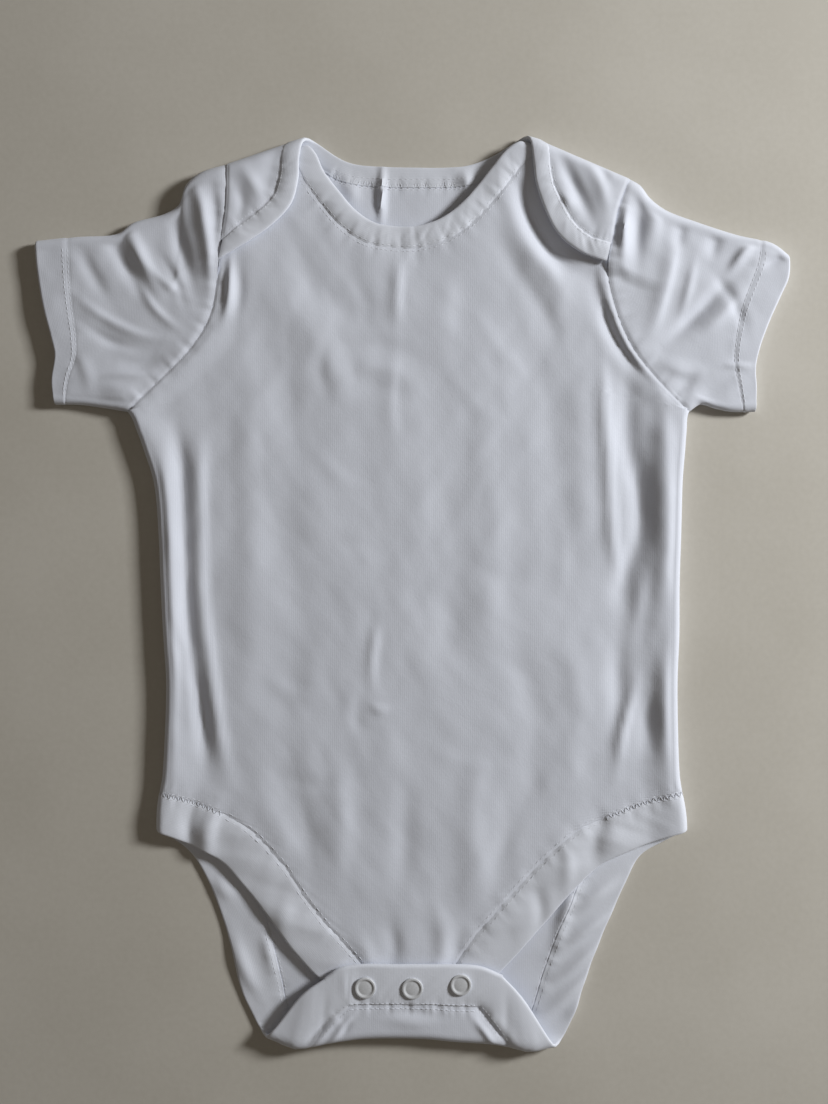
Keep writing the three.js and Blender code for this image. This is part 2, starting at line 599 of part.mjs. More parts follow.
// Flat cut of the front or the back: body, then both shoulders
function panelBlocks(curves, legs, lower, foldOf, lowerShares) {
  const folds = { left: foldOf(SHOULDER_LEFT), right: foldOf(SHOULDER_RIGHT) };
  const neckFolds = {
    left: shareAtFold(curves.panel, folds.left, 0.05, 0.5),
    right: shareAtFold(curves.panel, folds.right, 0.95, 0.5),
  };
  const plans = { left: ARMHOLE_LEFT, right: ARMHOLE_RIGHT };
  const edges = {};
  const starts = {};
  for (const side of ["left", "right"]) {
    const sign = side === "left" ? -1 : 1;
    const leg = samples(legs[side].panel, between(lowerShares[side], legs[side].top, evenShares(LEG_ROWS)));
    const body = sideEdge(side === "left" ? sideLeft : sideRight, sign);
    const armhole = armholeEdge(plans[side], sign, folds[side]);
    leg[leg.length - 1] = body[0];
    armhole[0] = body[body.length - 1];
    edges[side] = joined(leg, body, armhole);
    const neckPoint = pointOn(curves.panel, neckFolds[side]);
    starts[side] = straight(lastOf(armhole), neckPoint, SHOULDER_COLUMNS);
  }
  const neck = samples(curves.panel, between(neckFolds.left, neckFolds.right, evenShares(NECK_COLUMNS)));
  const top = joined(starts.left, neck, starts.right.slice().reverse());
  const bottom = lower(edges.left[0], edges.right[0]);
  const rows = evenShares(edges.left.length - 1);
  const body = fillBetween(bottom, top, edges.left, edges.right, COLUMNS, rows);
  const [leftLap, rightLap] = ["left", "right"].map((side) => shoulderBlock(
    side, curves, folds[side], LAP_ROWS, neckFolds[side], plans[side], starts[side]));
  return { body, laps: [leftLap, rightLap.map((row) => row.slice().reverse())], bottom };
}

// Share of the way along a leg seam at which it meets the bottom fold
const shareAtCrotch = (curve) => shareWhere((share) => pointOn(curve, share)[1] > CROTCH.y, 0.5, 1);

const levelEdge = (y) => (from, to) => straight([from[0], y], [to[0], y], COLUMNS);

function frontPanel() {
  const legs = {
    left: { panel: LEGS.left.front.panel, top: 1 },
    right: { panel: LEGS.right.front.panel, top: 1 },
  };
  const start = { left: 0, right: 0 };
  const { body, laps } = panelBlocks(FRONT_NECK, legs, levelEdge(FRONT_END_Y), strapFold, start);
  return clothGeometry([body, ...laps].map((block) => wallBlock(block, frontPoint(WALL))));
}

function backPanel() {
  const crotch = { left: shareAtCrotch(LEGS.left.back.panel), right: shareAtCrotch(LEGS.right.back.panel) };
  const legs = {
    left: { panel: LEGS.left.back.panel, top: 0 },
    right: { panel: LEGS.right.back.panel, top: 0 },
  };
  const { body, laps, bottom } = panelBlocks(BACK_NECK, legs, levelEdge(CROTCH.y), (fold) => fold, crotch);
  const flapSides = ["left", "right"].map((side) => samples(
    LEGS[side].back.panel, between(crotch[side], 1, FLAP_ROWS)));
  const endY = unfold(0, PLACKET_SEAM_Y - SEAM_GAP, CROTCH)[1];
  for (const run of flapSides) run[run.length - 1] = [lastOf(run)[0], endY];
  const end = straight(lastOf(flapSides[0]), lastOf(flapSides[1]), COLUMNS);
  const flap = fillBetween(bottom, end, flapSides[0], flapSides[1], COLUMNS, FLAP_ROWS).reverse();
  return clothGeometry([body, ...laps, flap].map((block) => wallBlock(block, backPoint(WALL))));
}

// A leg band runs over the front, round the side seam and over the back to the placket
function legBand(side) {
  const front = wallBlock(bandRows(LEGS[side].front, LEG_BAND_STEP), frontPoint(BAND_WALL));
  const back = wallBlock(bandRows(LEGS[side].back, LEG_BAND_STEP), backPoint(BAND_WALL));
  return clothGeometry([[...front, ...back.slice(1)]]);
}

const neckBand = (curves, pointOf) => clothGeometry([
  wallBlock(bandRows(curves, NECK_BAND_STEP), pointOf(BAND_WALL))]);

// Sleeves are flattened tubes, open at the armhole and at the cuff
function sleevePlan(edges, armhole, sign) {
  const seam = armholePlan(armhole, sign, false);
  const lower = curveThrough([seam(0), ...edges.lower.slice(1)]);
  const upper = curveThrough([seam(1), ...edges.upper.slice(1)]);
  const cuff = curveThrough(edges.cuff);
  return (u, w) => {
    const low = pointOn(lower, u);
    const high = pointOn(upper, u);
    const inner = seam(w);
    const outer = pointOn(cuff, w);
    const ends = [seam(0), seam(1), pointOn(cuff, 0), pointOn(cuff, 1)];
    return [0, 1].map((k) => mix(low[k], high[k], w) + mix(inner[k], outer[k], u)
      - mix(mix(ends[0][k], ends[1][k], w), mix(ends[2][k], ends[3][k], w), u));
  };
}

// Height of the sleeve's upper face: it follows the body at the armhole and settles towards the cuff
function sleeveHeight(u, w, x, y, seamSpot) {
  const seamHeight = mix(frontHeight(...seamSpot), LAP_TOP, ease(...LAP_END_BLEND, seamSpot[1]));
  const free = ease(0, SLEEVE_FREE_SHARE, w) * ease(1, 1 - SLEEVE_FREE_SHARE, w)
    * ease(0, SLEEVE_FREE_START, u);
  const level = mix(seamHeight, SLEEVE_HEIGHT, ease(...SLEEVE_SETTLE_BLEND, u));
  return level + free * relief(x, y, SLEEVE_CREASES);
}

// Walks round one ring: 0 to 1 over the front, to 2 round the top, to 3 along the back, to 4 round the bottom
function sleevePlace(plan) {
  return (u, q) => {
    const share = Math.min(1, Math.max(0, u));
    const bottomHeight = sleeveHeight(share, 0, 0, 0, plan(0, 0));
    const topHeight = sleeveHeight(share, 1, 0, 0, plan(0, 1));
    const [lowEnd, highEnd] = [plan(share, 0), plan(share, 1)];
    const length = Math.hypot(highEnd[0] - lowEnd[0], highEnd[1] - lowEnd[1]);
    const lowInset = bottomHeight / 2 / length;
    const highInset = 1 - topHeight / 2 / length;
    const turn = ((q % 4) + 4) % 4;
    if (turn <= 1) {
      const w = mix(lowInset, highInset, turn);
      const [x, y] = plan(share, w);
      const ends = mix(bottomHeight, topHeight, ease(0, 1, turn));
      const middle = sleeveHeight(share, w, x, y, plan(0, w));
      const hold = ease(0, SLEEVE_HOLD_SHARE, turn) * ease(1, 1 - SLEEVE_HOLD_SHARE, turn);
      return new THREE.Vector3(x, y, mix(ends, middle, hold));
    }
    if (turn <= 2) return roundEdge(plan(share, highInset), highEnd, topHeight, (turn - 1) * Math.PI);
    if (turn <= 3) {
      const [x, y] = plan(share, mix(highInset, lowInset, turn - 2));
      return new THREE.Vector3(x, y, 0);
    }
    return roundEdge(plan(share, lowInset), lowEnd, bottomHeight, (4 - turn) * Math.PI);
  };
}

// A half round between the upper and the lower face of a tube laid flat
function roundEdge(inset, edge, height, angle) {
  const out = Math.sin(angle);
  return new THREE.Vector3(
    mix(inset[0], edge[0], out), mix(inset[1], edge[1], out), (height / 2) * (1 + Math.cos(angle)));
}

function sleeve(edges, armhole, sign) {
  const plan = sleevePlan(edges, armhole, sign);
  const place = sleevePlace(plan);
  const turns = [
    ...between(0, 1, evenShares(SLEEVE_ACROSS)),
    ...between(1, 2, evenShares(SLEEVE_TURN)).slice(1),
    ...between(2, 3, evenShares(SLEEVE_ACROSS)).slice(1),
    ...between(3, 4, evenShares(SLEEVE_TURN)).slice(1),
  ];
  const [shoulder, cuffTop] = [edges.upper[0], lastOf(edges.cuff)];
  const length = Math.hypot(shoulder[0] - cuffTop[0], shoulder[1] - cuffTop[1]);
  const rings = SLEEVE_RINGS.map((u) => {
    const wall = mix(WALL, HEM_WALL, ease(1 - (HEM_DEPTH + HEM_BLEND) / length, 1 - HEM_DEPTH / length, u));
    return turns.map((q) => sleeveWallPoint(place, u, q, sign, wall));
  });
  return clothGeometry([rings]);
}

// Inward direction from the ring's own plane, so that both ends of the tube stay square
function sleeveWallPoint(place, u, q, sign, wall) {
  const outer = place(u, q);
  const step = SLEEVE_NORMAL_STEP;
  const along = place(Math.min(1, u + step), q).sub(place(Math.max(0, u - step), q));
  const round = place(u, q + step).sub(place(u, q - step));
  const normal = along.cross(round).normalize().multiplyScalar(-sign * wall);
  return { outer, inner: outer.clone().add(normal) };
}

// Placket across the end of the flap, a doubled strip that carries the snaps
function crotchPlacket() {
  const flat = (x, y) => unfold(x, y, CROTCH);
  const columns = evenShares(PLACKET_COLUMNS);
  const rows = evenShares(PLACKET_ROWS);
  const top = samples(curveThrough(PLACKET_EDGE.map(([x, y]) => flat(x, y))), columns);
  const bottomLeft = flat(PLACKET_LEFT_X, PLACKET_SEAM_Y + PLACKET_GAP);
  const bottomRight = flat(PLACKET_RIGHT_X, PLACKET_SEAM_Y + PLACKET_GAP);
  const bottom = straight(bottomLeft, bottomRight, columns);
  const left = straight(bottomLeft, top[0], rows);
  const right = straight(bottomRight, lastOf(top), rows);
  const block = fillBetween(bottom, top, left, right, columns, rows);
  return clothGeometry([wallBlock(block, backPoint(BAND_WALL))]);
}

// Round part about Z from its profile of [radius, height] rows
function turned(profile) {
  const points = profile.map(([radius, height]) => new THREE.Vector2(radius, height));
  return new THREE.LatheGeometry(points, ROUND_FACETS).rotateX(Math.PI / 2);
}

// Ring snap: a raised ring round a low crowned centre
function snapCap() {
  const ringRadius = SNAP_RADIUS - SNAP_BEVEL - SNAP_RING_WIDTH;
  const wellRadius = ringRadius - SNAP_RING_WIDTH - SNAP_BEVEL;
  return turned([
    [0, 0], [SNAP_RADIUS, 0], [SNAP_RADIUS, SNAP_RIM_HEIGHT],
    [SNAP_RADIUS - SNAP_BEVEL, SNAP_SHOULDER_HEIGHT],
    [ringRadius, SNAP_RISE], [ringRadius - SNAP_RING_WIDTH, SNAP_SHOULDER_HEIGHT],
    [wellRadius, SNAP_WELL_HEIGHT], [SNAP_CROWN_RADIUS, SNAP_CROWN_HEIGHT], [0, SNAP_CROWN_HEIGHT],
  ]);
}

// Hidden half of a snap, held between the placket and the front's end
function snapStud(height) {
  return turned([
    [0, 0], [STUD_RADIUS, 0], [STUD_RADIUS, height * STUD_EDGE_SHARE], [STUD_RADIUS - STUD_EDGE, height],
    [0, height],
  ]);
}

const JERSEY_COLOR = 0xecedf1;
const BINDING_COLOR = 0xf0f1f4;
const SNAP_COLOR = 0xe8e9ec;
const cloth = (color) => new THREE.MeshStandardMaterial({ color, roughness: 0.92, metalness: 0 });
const snapPlastic = () => new THREE.MeshStandardMaterial({ color: SNAP_COLOR, roughness: 0.4, metalness: 0 });

function piece(name, geometry, material) {
  const mesh = new THREE.Mesh(geometry, material);
  mesh.name = name;
  return mesh;
}

// Spot on the flap's outer face over a point in plan
const onFlap = (x, y) => placeBack(...unfold(x, y, CROTCH));

function snaps() {
  const studBase = CROTCH_HEIGHT + SEAM_GAP;
  const studHeight = FLAP_TOP - BAND_WALL - SEAM_GAP - studBase;
  return SNAPS.flatMap(([x, y], i) => {
    const seat = onFlap(x, y);
    const cap = piece(`snap_cap_${i + 1}`, snapCap(), snapPlastic());
    cap.position.set(seat.x, seat.y, seat.z + SEAM_GAP);
    const stud = piece(`snap_stud_${i + 1}`, snapStud(studHeight), snapPlastic());
    stud.position.set(seat.x, seat.y, studBase);
    return [cap, stud];
  });
}

const bodysuit = new THREE.Group();
bodysuit.add(
  piece("back_panel", backPanel(), cloth(JERSEY_COLOR)),
  piece("front_panel", frontPanel(), cloth(JERSEY_COLOR)),
  piece("left_sleeve", sleeve(SLEEVE_LEFT, ARMHOLE_LEFT, -1), cloth(JERSEY_COLOR)),
  piece("right_sleeve", sleeve(SLEEVE_RIGHT, ARMHOLE_RIGHT, 1), cloth(JERSEY_COLOR)),
  piece("front_neck_band", neckBand(FRONT_NECK, frontPoint), cloth(BINDING_COLOR)),
  piece("back_neck_band", neckBand(BACK_NECK, backPoint), cloth(BINDING_COLOR)),
  piece("left_leg_band", legBand("left"), cloth(BINDING_COLOR)),
  piece("right_leg_band", legBand("right"), cloth(BINDING_COLOR)),
  piece("crotch_placket", crotchPlacket(), cloth(BINDING_COLOR)),
  ...snaps(),
);

// The origin is the middle of the footprint, on the surface
const reach = new THREE.Box3().setFromObject(bodysuit);
const model = new THREE.Group();
bodysuit.position.set(-(reach.min.x + reach.max.x) / 2, -(reach.min.y + reach.max.y) / 2, -reach.min.z);
model.add(bodysuit);

export default model;
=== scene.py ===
"""Short-sleeve baby bodysuit with a lap-shoulder neck, laid flat with the front up."""
import math

import bmesh
import bpy
import numpy as np
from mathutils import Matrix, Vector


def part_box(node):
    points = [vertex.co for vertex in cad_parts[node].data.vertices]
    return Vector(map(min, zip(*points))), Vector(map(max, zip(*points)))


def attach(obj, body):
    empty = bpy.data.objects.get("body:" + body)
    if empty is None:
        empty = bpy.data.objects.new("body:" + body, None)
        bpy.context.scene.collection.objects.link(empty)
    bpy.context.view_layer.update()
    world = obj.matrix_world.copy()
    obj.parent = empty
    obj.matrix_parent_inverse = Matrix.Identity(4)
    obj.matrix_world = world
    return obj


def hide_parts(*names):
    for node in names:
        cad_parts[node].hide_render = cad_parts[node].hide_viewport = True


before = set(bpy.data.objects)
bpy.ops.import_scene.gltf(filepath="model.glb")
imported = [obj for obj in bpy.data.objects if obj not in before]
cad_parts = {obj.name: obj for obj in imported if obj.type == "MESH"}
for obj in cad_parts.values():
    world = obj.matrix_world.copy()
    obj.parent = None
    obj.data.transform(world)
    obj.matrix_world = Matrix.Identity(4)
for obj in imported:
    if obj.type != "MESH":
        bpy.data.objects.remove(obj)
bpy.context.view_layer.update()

# Cloth, in millimetres
WALL = 1.1
BAND_WALL = 1.5
HEM_WALL = 1.9
SEAM_LAP = 0.6
HEM_DEPTH = 15.0
HEM_PITCH = 2.4
CREASE_GAIN = 1.25
THREAD_RADIUS = 0.12

# Heights above the surface and fold radii
SIDE_RADIUS = 3.1
SHOULDER_RADIUS = 4.2
STRAP_RADIUS = 2.1
STRAP_SETBACK = 1.1
CROTCH_RADIUS = 3.7
LAP_TOP = 2 * SHOULDER_RADIUS
FLAP_TOP = 2 * CROTCH_RADIUS
FRONT_PLATEAU = 4.4
STRAP_HEIGHT = 6.3
CROTCH_HEIGHT = 3.9
ARMHOLE_HEIGHT = 5.6
SLEEVE_HEIGHT = 5.2

# Lengths of the cut
CROTCH_START_Y = -196.5 + CROTCH_RADIUS
END_Y = -180.5
SIDE_BOTTOM_Y = -86.5
UNDERARM_Y = 79.3
CHEST_Y = 100
QUARTER = SIDE_RADIUS * (math.pi / 2 - 1)

SIDE_LEFT = np.array([  # y, x
    (-112, -112.6), (-103.5, -112), (-89, -111), (-80, -109.4), (-60, -108.2), (-38, -107.7),
    (-18, -109), (4, -110.1), (26, -111), (48, -113), (62, -117.3), (70, -120.2), (79.3, -124.5),
    (95, -140)])
SIDE_RIGHT = np.array([
    (-112, 120.8), (-103.5, 120.3), (-89, 118.5), (-80, 117), (-60, 116.2), (-38, 116), (-18, 116.8),
    (4, 116.9), (26, 117.6), (48, 118.2), (62, 119.3), (70, 119.9), (79.3, 121), (95, 130)])

# Armhole seams in plan, from the underarm to the shoulder fold
ARMHOLES = {
    "left": [(-124.5, 79.3), (-111, 92.5), (-96.5, 107.5), (-88.5, 121), (-85.3, 137), (-83.2, 153),
             (-80.9, 168), (-80.5, 187.5)],
    "right": [(121, 79.3), (107, 93.5), (96, 107.5), (89.5, 122), (85.6, 137), (85.3, 146), (87.3, 156),
              (89.3, 167), (94.5, 181)],
}
SLEEVES = {
    "left": {
        "lower": [(-124.5, 79.3), (-137.5, 81.4), (-145, 82.4), (-156.5, 82.8)],
        "upper": [(-80.5, 187.5), (-93, 183.5), (-98.8, 178.5), (-101.8, 170.3), (-108, 166.2),
                  (-122.5, 162), (-129, 157.4), (-146.5, 156), (-165, 154)],
        "cuff": [(-156.5, 82.8), (-157.6, 93), (-156.2, 104.5), (-157.6, 111), (-161.2, 125),
                 (-164, 141), (-165, 154)],
    },
    "right": {
        "lower": [(121, 79.3), (126, 82.4), (133.5, 80.6), (140, 79.4), (150.2, 79.6)],
        "upper": [(94.5, 181), (99.5, 178), (103.8, 172.6), (110.5, 167.7), (124.5, 162.5), (141.5, 157),
                  (157.5, 153), (165, 147.5)],
        "cuff": [(150.2, 79.6), (150.3, 90), (150, 99), (152, 108), (156.5, 120), (161.5, 131),
                 (164.4, 138), (165, 147.5)],
    },
}

# Cross-sections of the bands, outer edge then seam, on the layer where they are seen
BACK_NECK_BAND = [
    (-84.1, 145.4, -82.2, 154.3, "lap"), (-70, 153.7, -73.8, 161.6, "lap"),
    (-60, 161, -65.4, 167.8, "lap"), (-52.5, 169.5, -60.1, 174, "lap"),
    (-49.5, 180, -58, 181.6, "lap"), (-49, 190, -57.3, 188.7, "lap"),
    (-33, 191.5, -38.2, 184.6, "back"), (-26, 188.6, -29.6, 180.4, "back"),
    (-14.5, 187.4, -15.4, 178.6, "back"), (0, 187, 0, 178.2, "back"), (14, 187, 14.8, 178.3, "back"),
    (24.5, 187.9, 27, 179.4, "back"), (37.5, 193.2, 42.8, 186, "back"),
    (52.3, 189, 59.9, 187.4, "lap"), (53.5, 179, 61.4, 178, "lap"), (57.5, 167, 65, 170.2, "lap"),
    (64, 155.3, 70.2, 161.4, "lap"), (73.5, 148, 77.4, 155.3, "lap"), (84.2, 144, 86.2, 152.6, "lap")]
FRONT_NECK_BAND = [
    (-84.2, 149.4, -82.4, 157.8, "under"), (-71, 156.4, -74.8, 164, "under"),
    (-61, 163.6, -66.6, 170.4, "under"), (-53.5, 172.4, -61.4, 176.2, "under"),
    (-50, 184.5, -58.6, 184.6, "under"), (-43, 193, -51, 187, "front"),
    (-38.5, 184, -46.4, 178, "front"), (-32, 175.5, -39.4, 168.8, "front"),
    (-25, 167.5, -31, 159.4, "front"), (-17, 162, -20.8, 152.7, "front"),
    (-8, 160.3, -9.4, 150.5, "front"), (2, 160.3, 3.6, 150.7, "front"),
    (12, 163.5, 16.2, 154.6, "front"), (20.5, 169.5, 27, 162, "front"),
    (28, 177.5, 35.8, 171.3, "front"), (35.5, 187, 43.5, 181, "front"),
    (42, 194.3, 49.5, 187.8, "front"), (53.2, 183.5, 61.8, 183.2, "under"),
    (57.4, 171.4, 65.2, 174.6, "under"), (64, 160, 70.3, 166, "under"),
    (73.4, 152.5, 77.6, 160, "under"), (85.2, 147.8, 87.2, 156.2, "under")]
LEG_BANDS = {
    "left": [
        (-29.5, -180.5, -13.4, -180.5, "front"), (-34, -173, -17.2, -168.6, "front"),
        (-42.5, -167, -28.2, -154.6, "front"), (-52.5, -156, -37.5, -144.5, "front"),
        (-62.5, -142.5, -47, -132, "front"), (-72.5, -129.5, -57.5, -116.8, "front"),
        (-84, -117, -71.5, -102.6, "front"), (-95, -111.2, -88, -93.7, "front"),
        (-104, -107, -101, -89.2, "front"), (-112, -103.5, -111, -86.5, "side"),
        (-104, -108.6, -100.6, -91.2, "back"), (-96.5, -115, -86, -100.5, "back"),
        (-89.5, -127, -73.5, -119, "back"), (-84, -141, -66.8, -135.6, "back"),
        (-79.5, -156, -61.8, -152.2, "back"), (-76, -172, -57.8, -168.6, "back"),
        (-71.5, -186.5, -54, -184, "back"), (-50, -176, -39, -190, "flap"),
        (-37.5, -167, -27.5, -180.5, "flap")],
    "right": [
        (27.5, -180.5, 12.6, -180.5, "front"), (31.6, -173, 15.6, -168.5, "front"),
        (39, -165.4, 25.4, -152, "front"), (49.4, -154, 36, -139.6, "front"),
        (60, -142, 47, -127, "front"), (72, -128.5, 59.5, -114, "front"),
        (83, -118.5, 73, -103, "front"), (95, -112.8, 89.5, -95.6, "front"),
        (108, -107.6, 105, -90, "front"), (120.3, -103.5, 118.4, -86.5, "side"),
        (110.5, -109, 106.4, -91.4, "back"), (100, -115.4, 90, -100.4, "back"),
        (93.2, -128, 76, -121, "back"), (87.4, -141, 70, -135.2, "back"),
        (81.6, -154.5, 64, -149.2, "back"), (76.2, -169, 58.4, -164.6, "back"),
        (70.4, -186, 52, -183, "back"), (51.5, -179.6, 38, -191, "flap"),
        (38.8, -166, 28.8, -180.5, "flap")],
}
PLACKET_EDGE = [(-38.2, -167.2), (-32, -162.9), (-23.5, -161.4), (-8, -161.4), (8, -161.4), (21, -161.4),
                (30, -162.4), (39.4, -166.2)]
PLACKET_LEFT = (-28.2, -180.4)
PLACKET_RIGHT = (29.4, -180.4)
CROTCH_WAVE = np.array([  # x, rise of the bottom fold
    (-72, 4.6), (-66, 3.2), (-57, -0.4), (-47, -2), (-34, 0.2), (-20, 1.9), (4, 1.9), (18, 0.6),
    (35, -0.6), (49, -2.8), (60, -2.2), (70, -0.4)])
SNAPS = [(-20.5, -171.2), (0, -171.5), (21, -169.8)]

# Creases: rise, half width on the left and on the right of the way they run, then the way itself
FRONT_CREASES = [
    # Left side: crest at the edge, long valley, crest beside it
    (1.2, 3, 3.6, [(-109, 66), (-106, 20), (-105, -30), (-106, -78)]),
    (-1.6, 3.4, 2.8, [(-103, 76), (-100.5, 45), (-99.5, 5), (-97, -24), (-93, -48), (-89, -82)]),
    (1.1, 2, 4.2, [(-93, 72), (-92, 30), (-91.5, -3), (-88, -30), (-84, -60), (-80, -84)]),
    (0.5, 2, 2, [(-104, 30), (-101, 10), (-103, -12)]),
    (-0.6, 2, 2.4, [(-107, -10), (-101, -26), (-100, -44)]),
    # Ridge below the left lap
    (1.7, 2.2, 2, [(-80.2, 149), (-79.6, 131), (-82.4, 117)]),
    (-0.6, 2.4, 2.4, [(-76, 148), (-75.4, 130), (-78, 116)]),
    # Right side: sharp crease, dark valley beside it, crest near the edge
    (1.4, 1.7, 3.4, [(82.8, 104), (84.7, 76), (86.9, 41), (87.8, 21), (90.4, 5)]),
    (-1.7, 4.6, 4.4, [(95, 100), (94, 84), (94.4, 64), (98.6, 47), (99.6, 29), (93, 6), (91, -16)]),
    (1.5, 4, 5.5, [(109, 92), (109.6, 60), (110.4, 20), (106, -10)]),
    (0.6, 2.4, 2.4, [(103, 14), (99, -2), (97, -20)]),
    (-1.3, 4.4, 4, [(91, -14), (90, -40), (89, -66)]),
    (1.5, 1.9, 2.6, [(98, -36), (91.6, -61), (88.8, -81)]),
    (-1.3, 4.5, 4, [(104, -40), (103, -58), (104, -74)]),
    (1.0, 3, 4, [(111, -20), (110, -50), (111, -78)]),
    # Under the right lap and along its armhole
    (-2.3, 5, 4.5, [(45, 189), (50, 168), (60, 150), (79, 137)]),
    (-2.0, 3.6, 4.4, [(77, 139), (82.5, 128), (88, 114), (96, 101), (104, 90)]),
    (0.9, 4, 5, [(40, 176), (48, 156), (60, 140), (70, 120)]),
    (-0.7, 4, 5, [(34, 160), (46, 140), (60, 118), (66, 98)]),
    # Centre fold and the dimples below the neck
    (0.9, 1.8, 3.4, [(-5.2, 151), (-6.2, 136), (-7.2, 114)]),
    (0.45, 2, 5, [(-7.2, 114), (-9, 84), (-8, 60)]),
    (-0.45, 4, 4.4, [(-40, 96), (-30, 106), (-14, 108), (0, 103), (10, 90)]),
    (0.45, 3, 3.4, [(-34, 88), (-24, 97), (-10, 98), (2, 90)]),
    (-0.35, 3.4, 4.4, [(-30, 82), (-14, 90), (2, 82)]),
    (-0.5, 3, 4, [(-37, 112), (-40, 98), (-37, 84)]), (-0.3, 3, 3, [(-26, 104), (-25, 90)]),
    # Small crease at the middle of the front
    (0.75, 1.5, 2.6, [(-15, -8), (-17.2, -28), (-18, -44)]),
    (0.6, 2, 2, [(-19, -47), (-14.5, -51), (-9, -50)]),
    (-0.4, 3, 3, [(-22, -40), (-24, -56), (-16, -62)]),
    # Soft broad waves
    (0.7, 7, 8, [(-68, 142), (-44, 112), (-24, 76)]),
    (-0.7, 6, 6, [(-58, 160), (-36, 128), (-20, 116)]),
    (-0.5, 7, 7, [(-72, 120), (-58, 92), (-46, 54)]),
    (0.5, 5, 7, [(20, 150), (14, 124), (18, 96)]),
    (-0.5, 8, 8, [(48, 124), (60, 74), (62, 10)]),
    (0.6, 7, 6, [(72, 108), (75, 60), (74, 14)]),
    (0.5, 6, 7, [(30, 80), (36, 30), (32, -30)]),
    (-0.45, 7, 7, [(14, 60), (18, 6), (12, -40)]),
    (0.5, 7, 7, [(-74, 90), (-70, 20), (-74, -60)]),
    (-0.5, 8, 8, [(-60, 50), (-50, -10), (-56, -60)]),
    (-0.55, 7, 6, [(42, -12), (54, -58), (50, -106)]),
    (0.6, 5, 7, [(66, -10), (72, -50), (66, -92)]),
    (-0.6, 6, 8, [(-60, -60), (-48, -100), (-40, -126)]),
    (0.6, 5, 5, [(-66, -84), (-56, -106), (-46, -120)]),
    (0.7, 5, 6, [(-34, -66), (-31, -100), (-34, -134)]),
    (-0.6, 5, 5, [(-4, -74), (-3, -104), (-6, -136)]),
    (0.65, 5, 6, [(30, -66), (26, -100), (30, -136)]),
    (-0.6, 5, 5, [(44, -90), (38, -116), (34, -140)]),
    (0.8, 4, 5, [(-26, -146), (-20, -158), (-16, -170)]),
    (-0.7, 3.5, 4, [(-10, -140), (-8, -156), (-12, -170)]),
    (0.7, 4, 4, [(8, -132), (14, -150), (10, -168)]),
    (-0.6, 3, 4, [(22, -144), (18, -160), (16, -172)]),
    # Soft folds across the leg bands
    (-1.3, 4, 5, [(86, -92), (80, -108), (79, -124)]),
    (0.8, 3, 3.4, [(64, -104), (68, -118), (66, -136)]),
    (-0.8, 3, 3, [(50, -124), (56, -136), (54, -152)]),
    (1.3, 2.8, 3.6, [(-85, -90), (-89, -104), (-90, -120)]),
    (-1.0, 3, 3, [(-97, -90), (-98, -104), (-97, -118)]),
    (0.8, 4, 4, [(-50, -128), (-57, -140), (-54, -154)]),
    # Faint slanting folds across the chest and the waist
    (0.22, 3, 4, [(-46, 66), (-30, 50), (-14, 42)]), (0.2, 3, 4, [(12, 104), (26, 84), (44, 70)]),
    (0.25, 3, 4, [(24, 132), (36, 108), (54, 92)]), (-0.22, 4, 4, [(-52, 14), (-30, 22), (-8, 16)]),
    (0.22, 3, 4, [(-70, -30), (-52, -44), (-36, -46)]), (-0.22, 4, 4, [(20, 18), (40, 6), (56, 8)]),
    (0.22, 3, 4, [(2, -60), (22, -74), (44, -76)]),
    (-0.25, 3.5, 3.5, [(-62, -78), (-40, -84), (-20, -78)]),
    (0.25, 3, 4, [(60, 44), (66, 20), (64, -6)]), (-0.25, 3, 4, [(-28, 140), (-20, 126), (-24, 112)])]
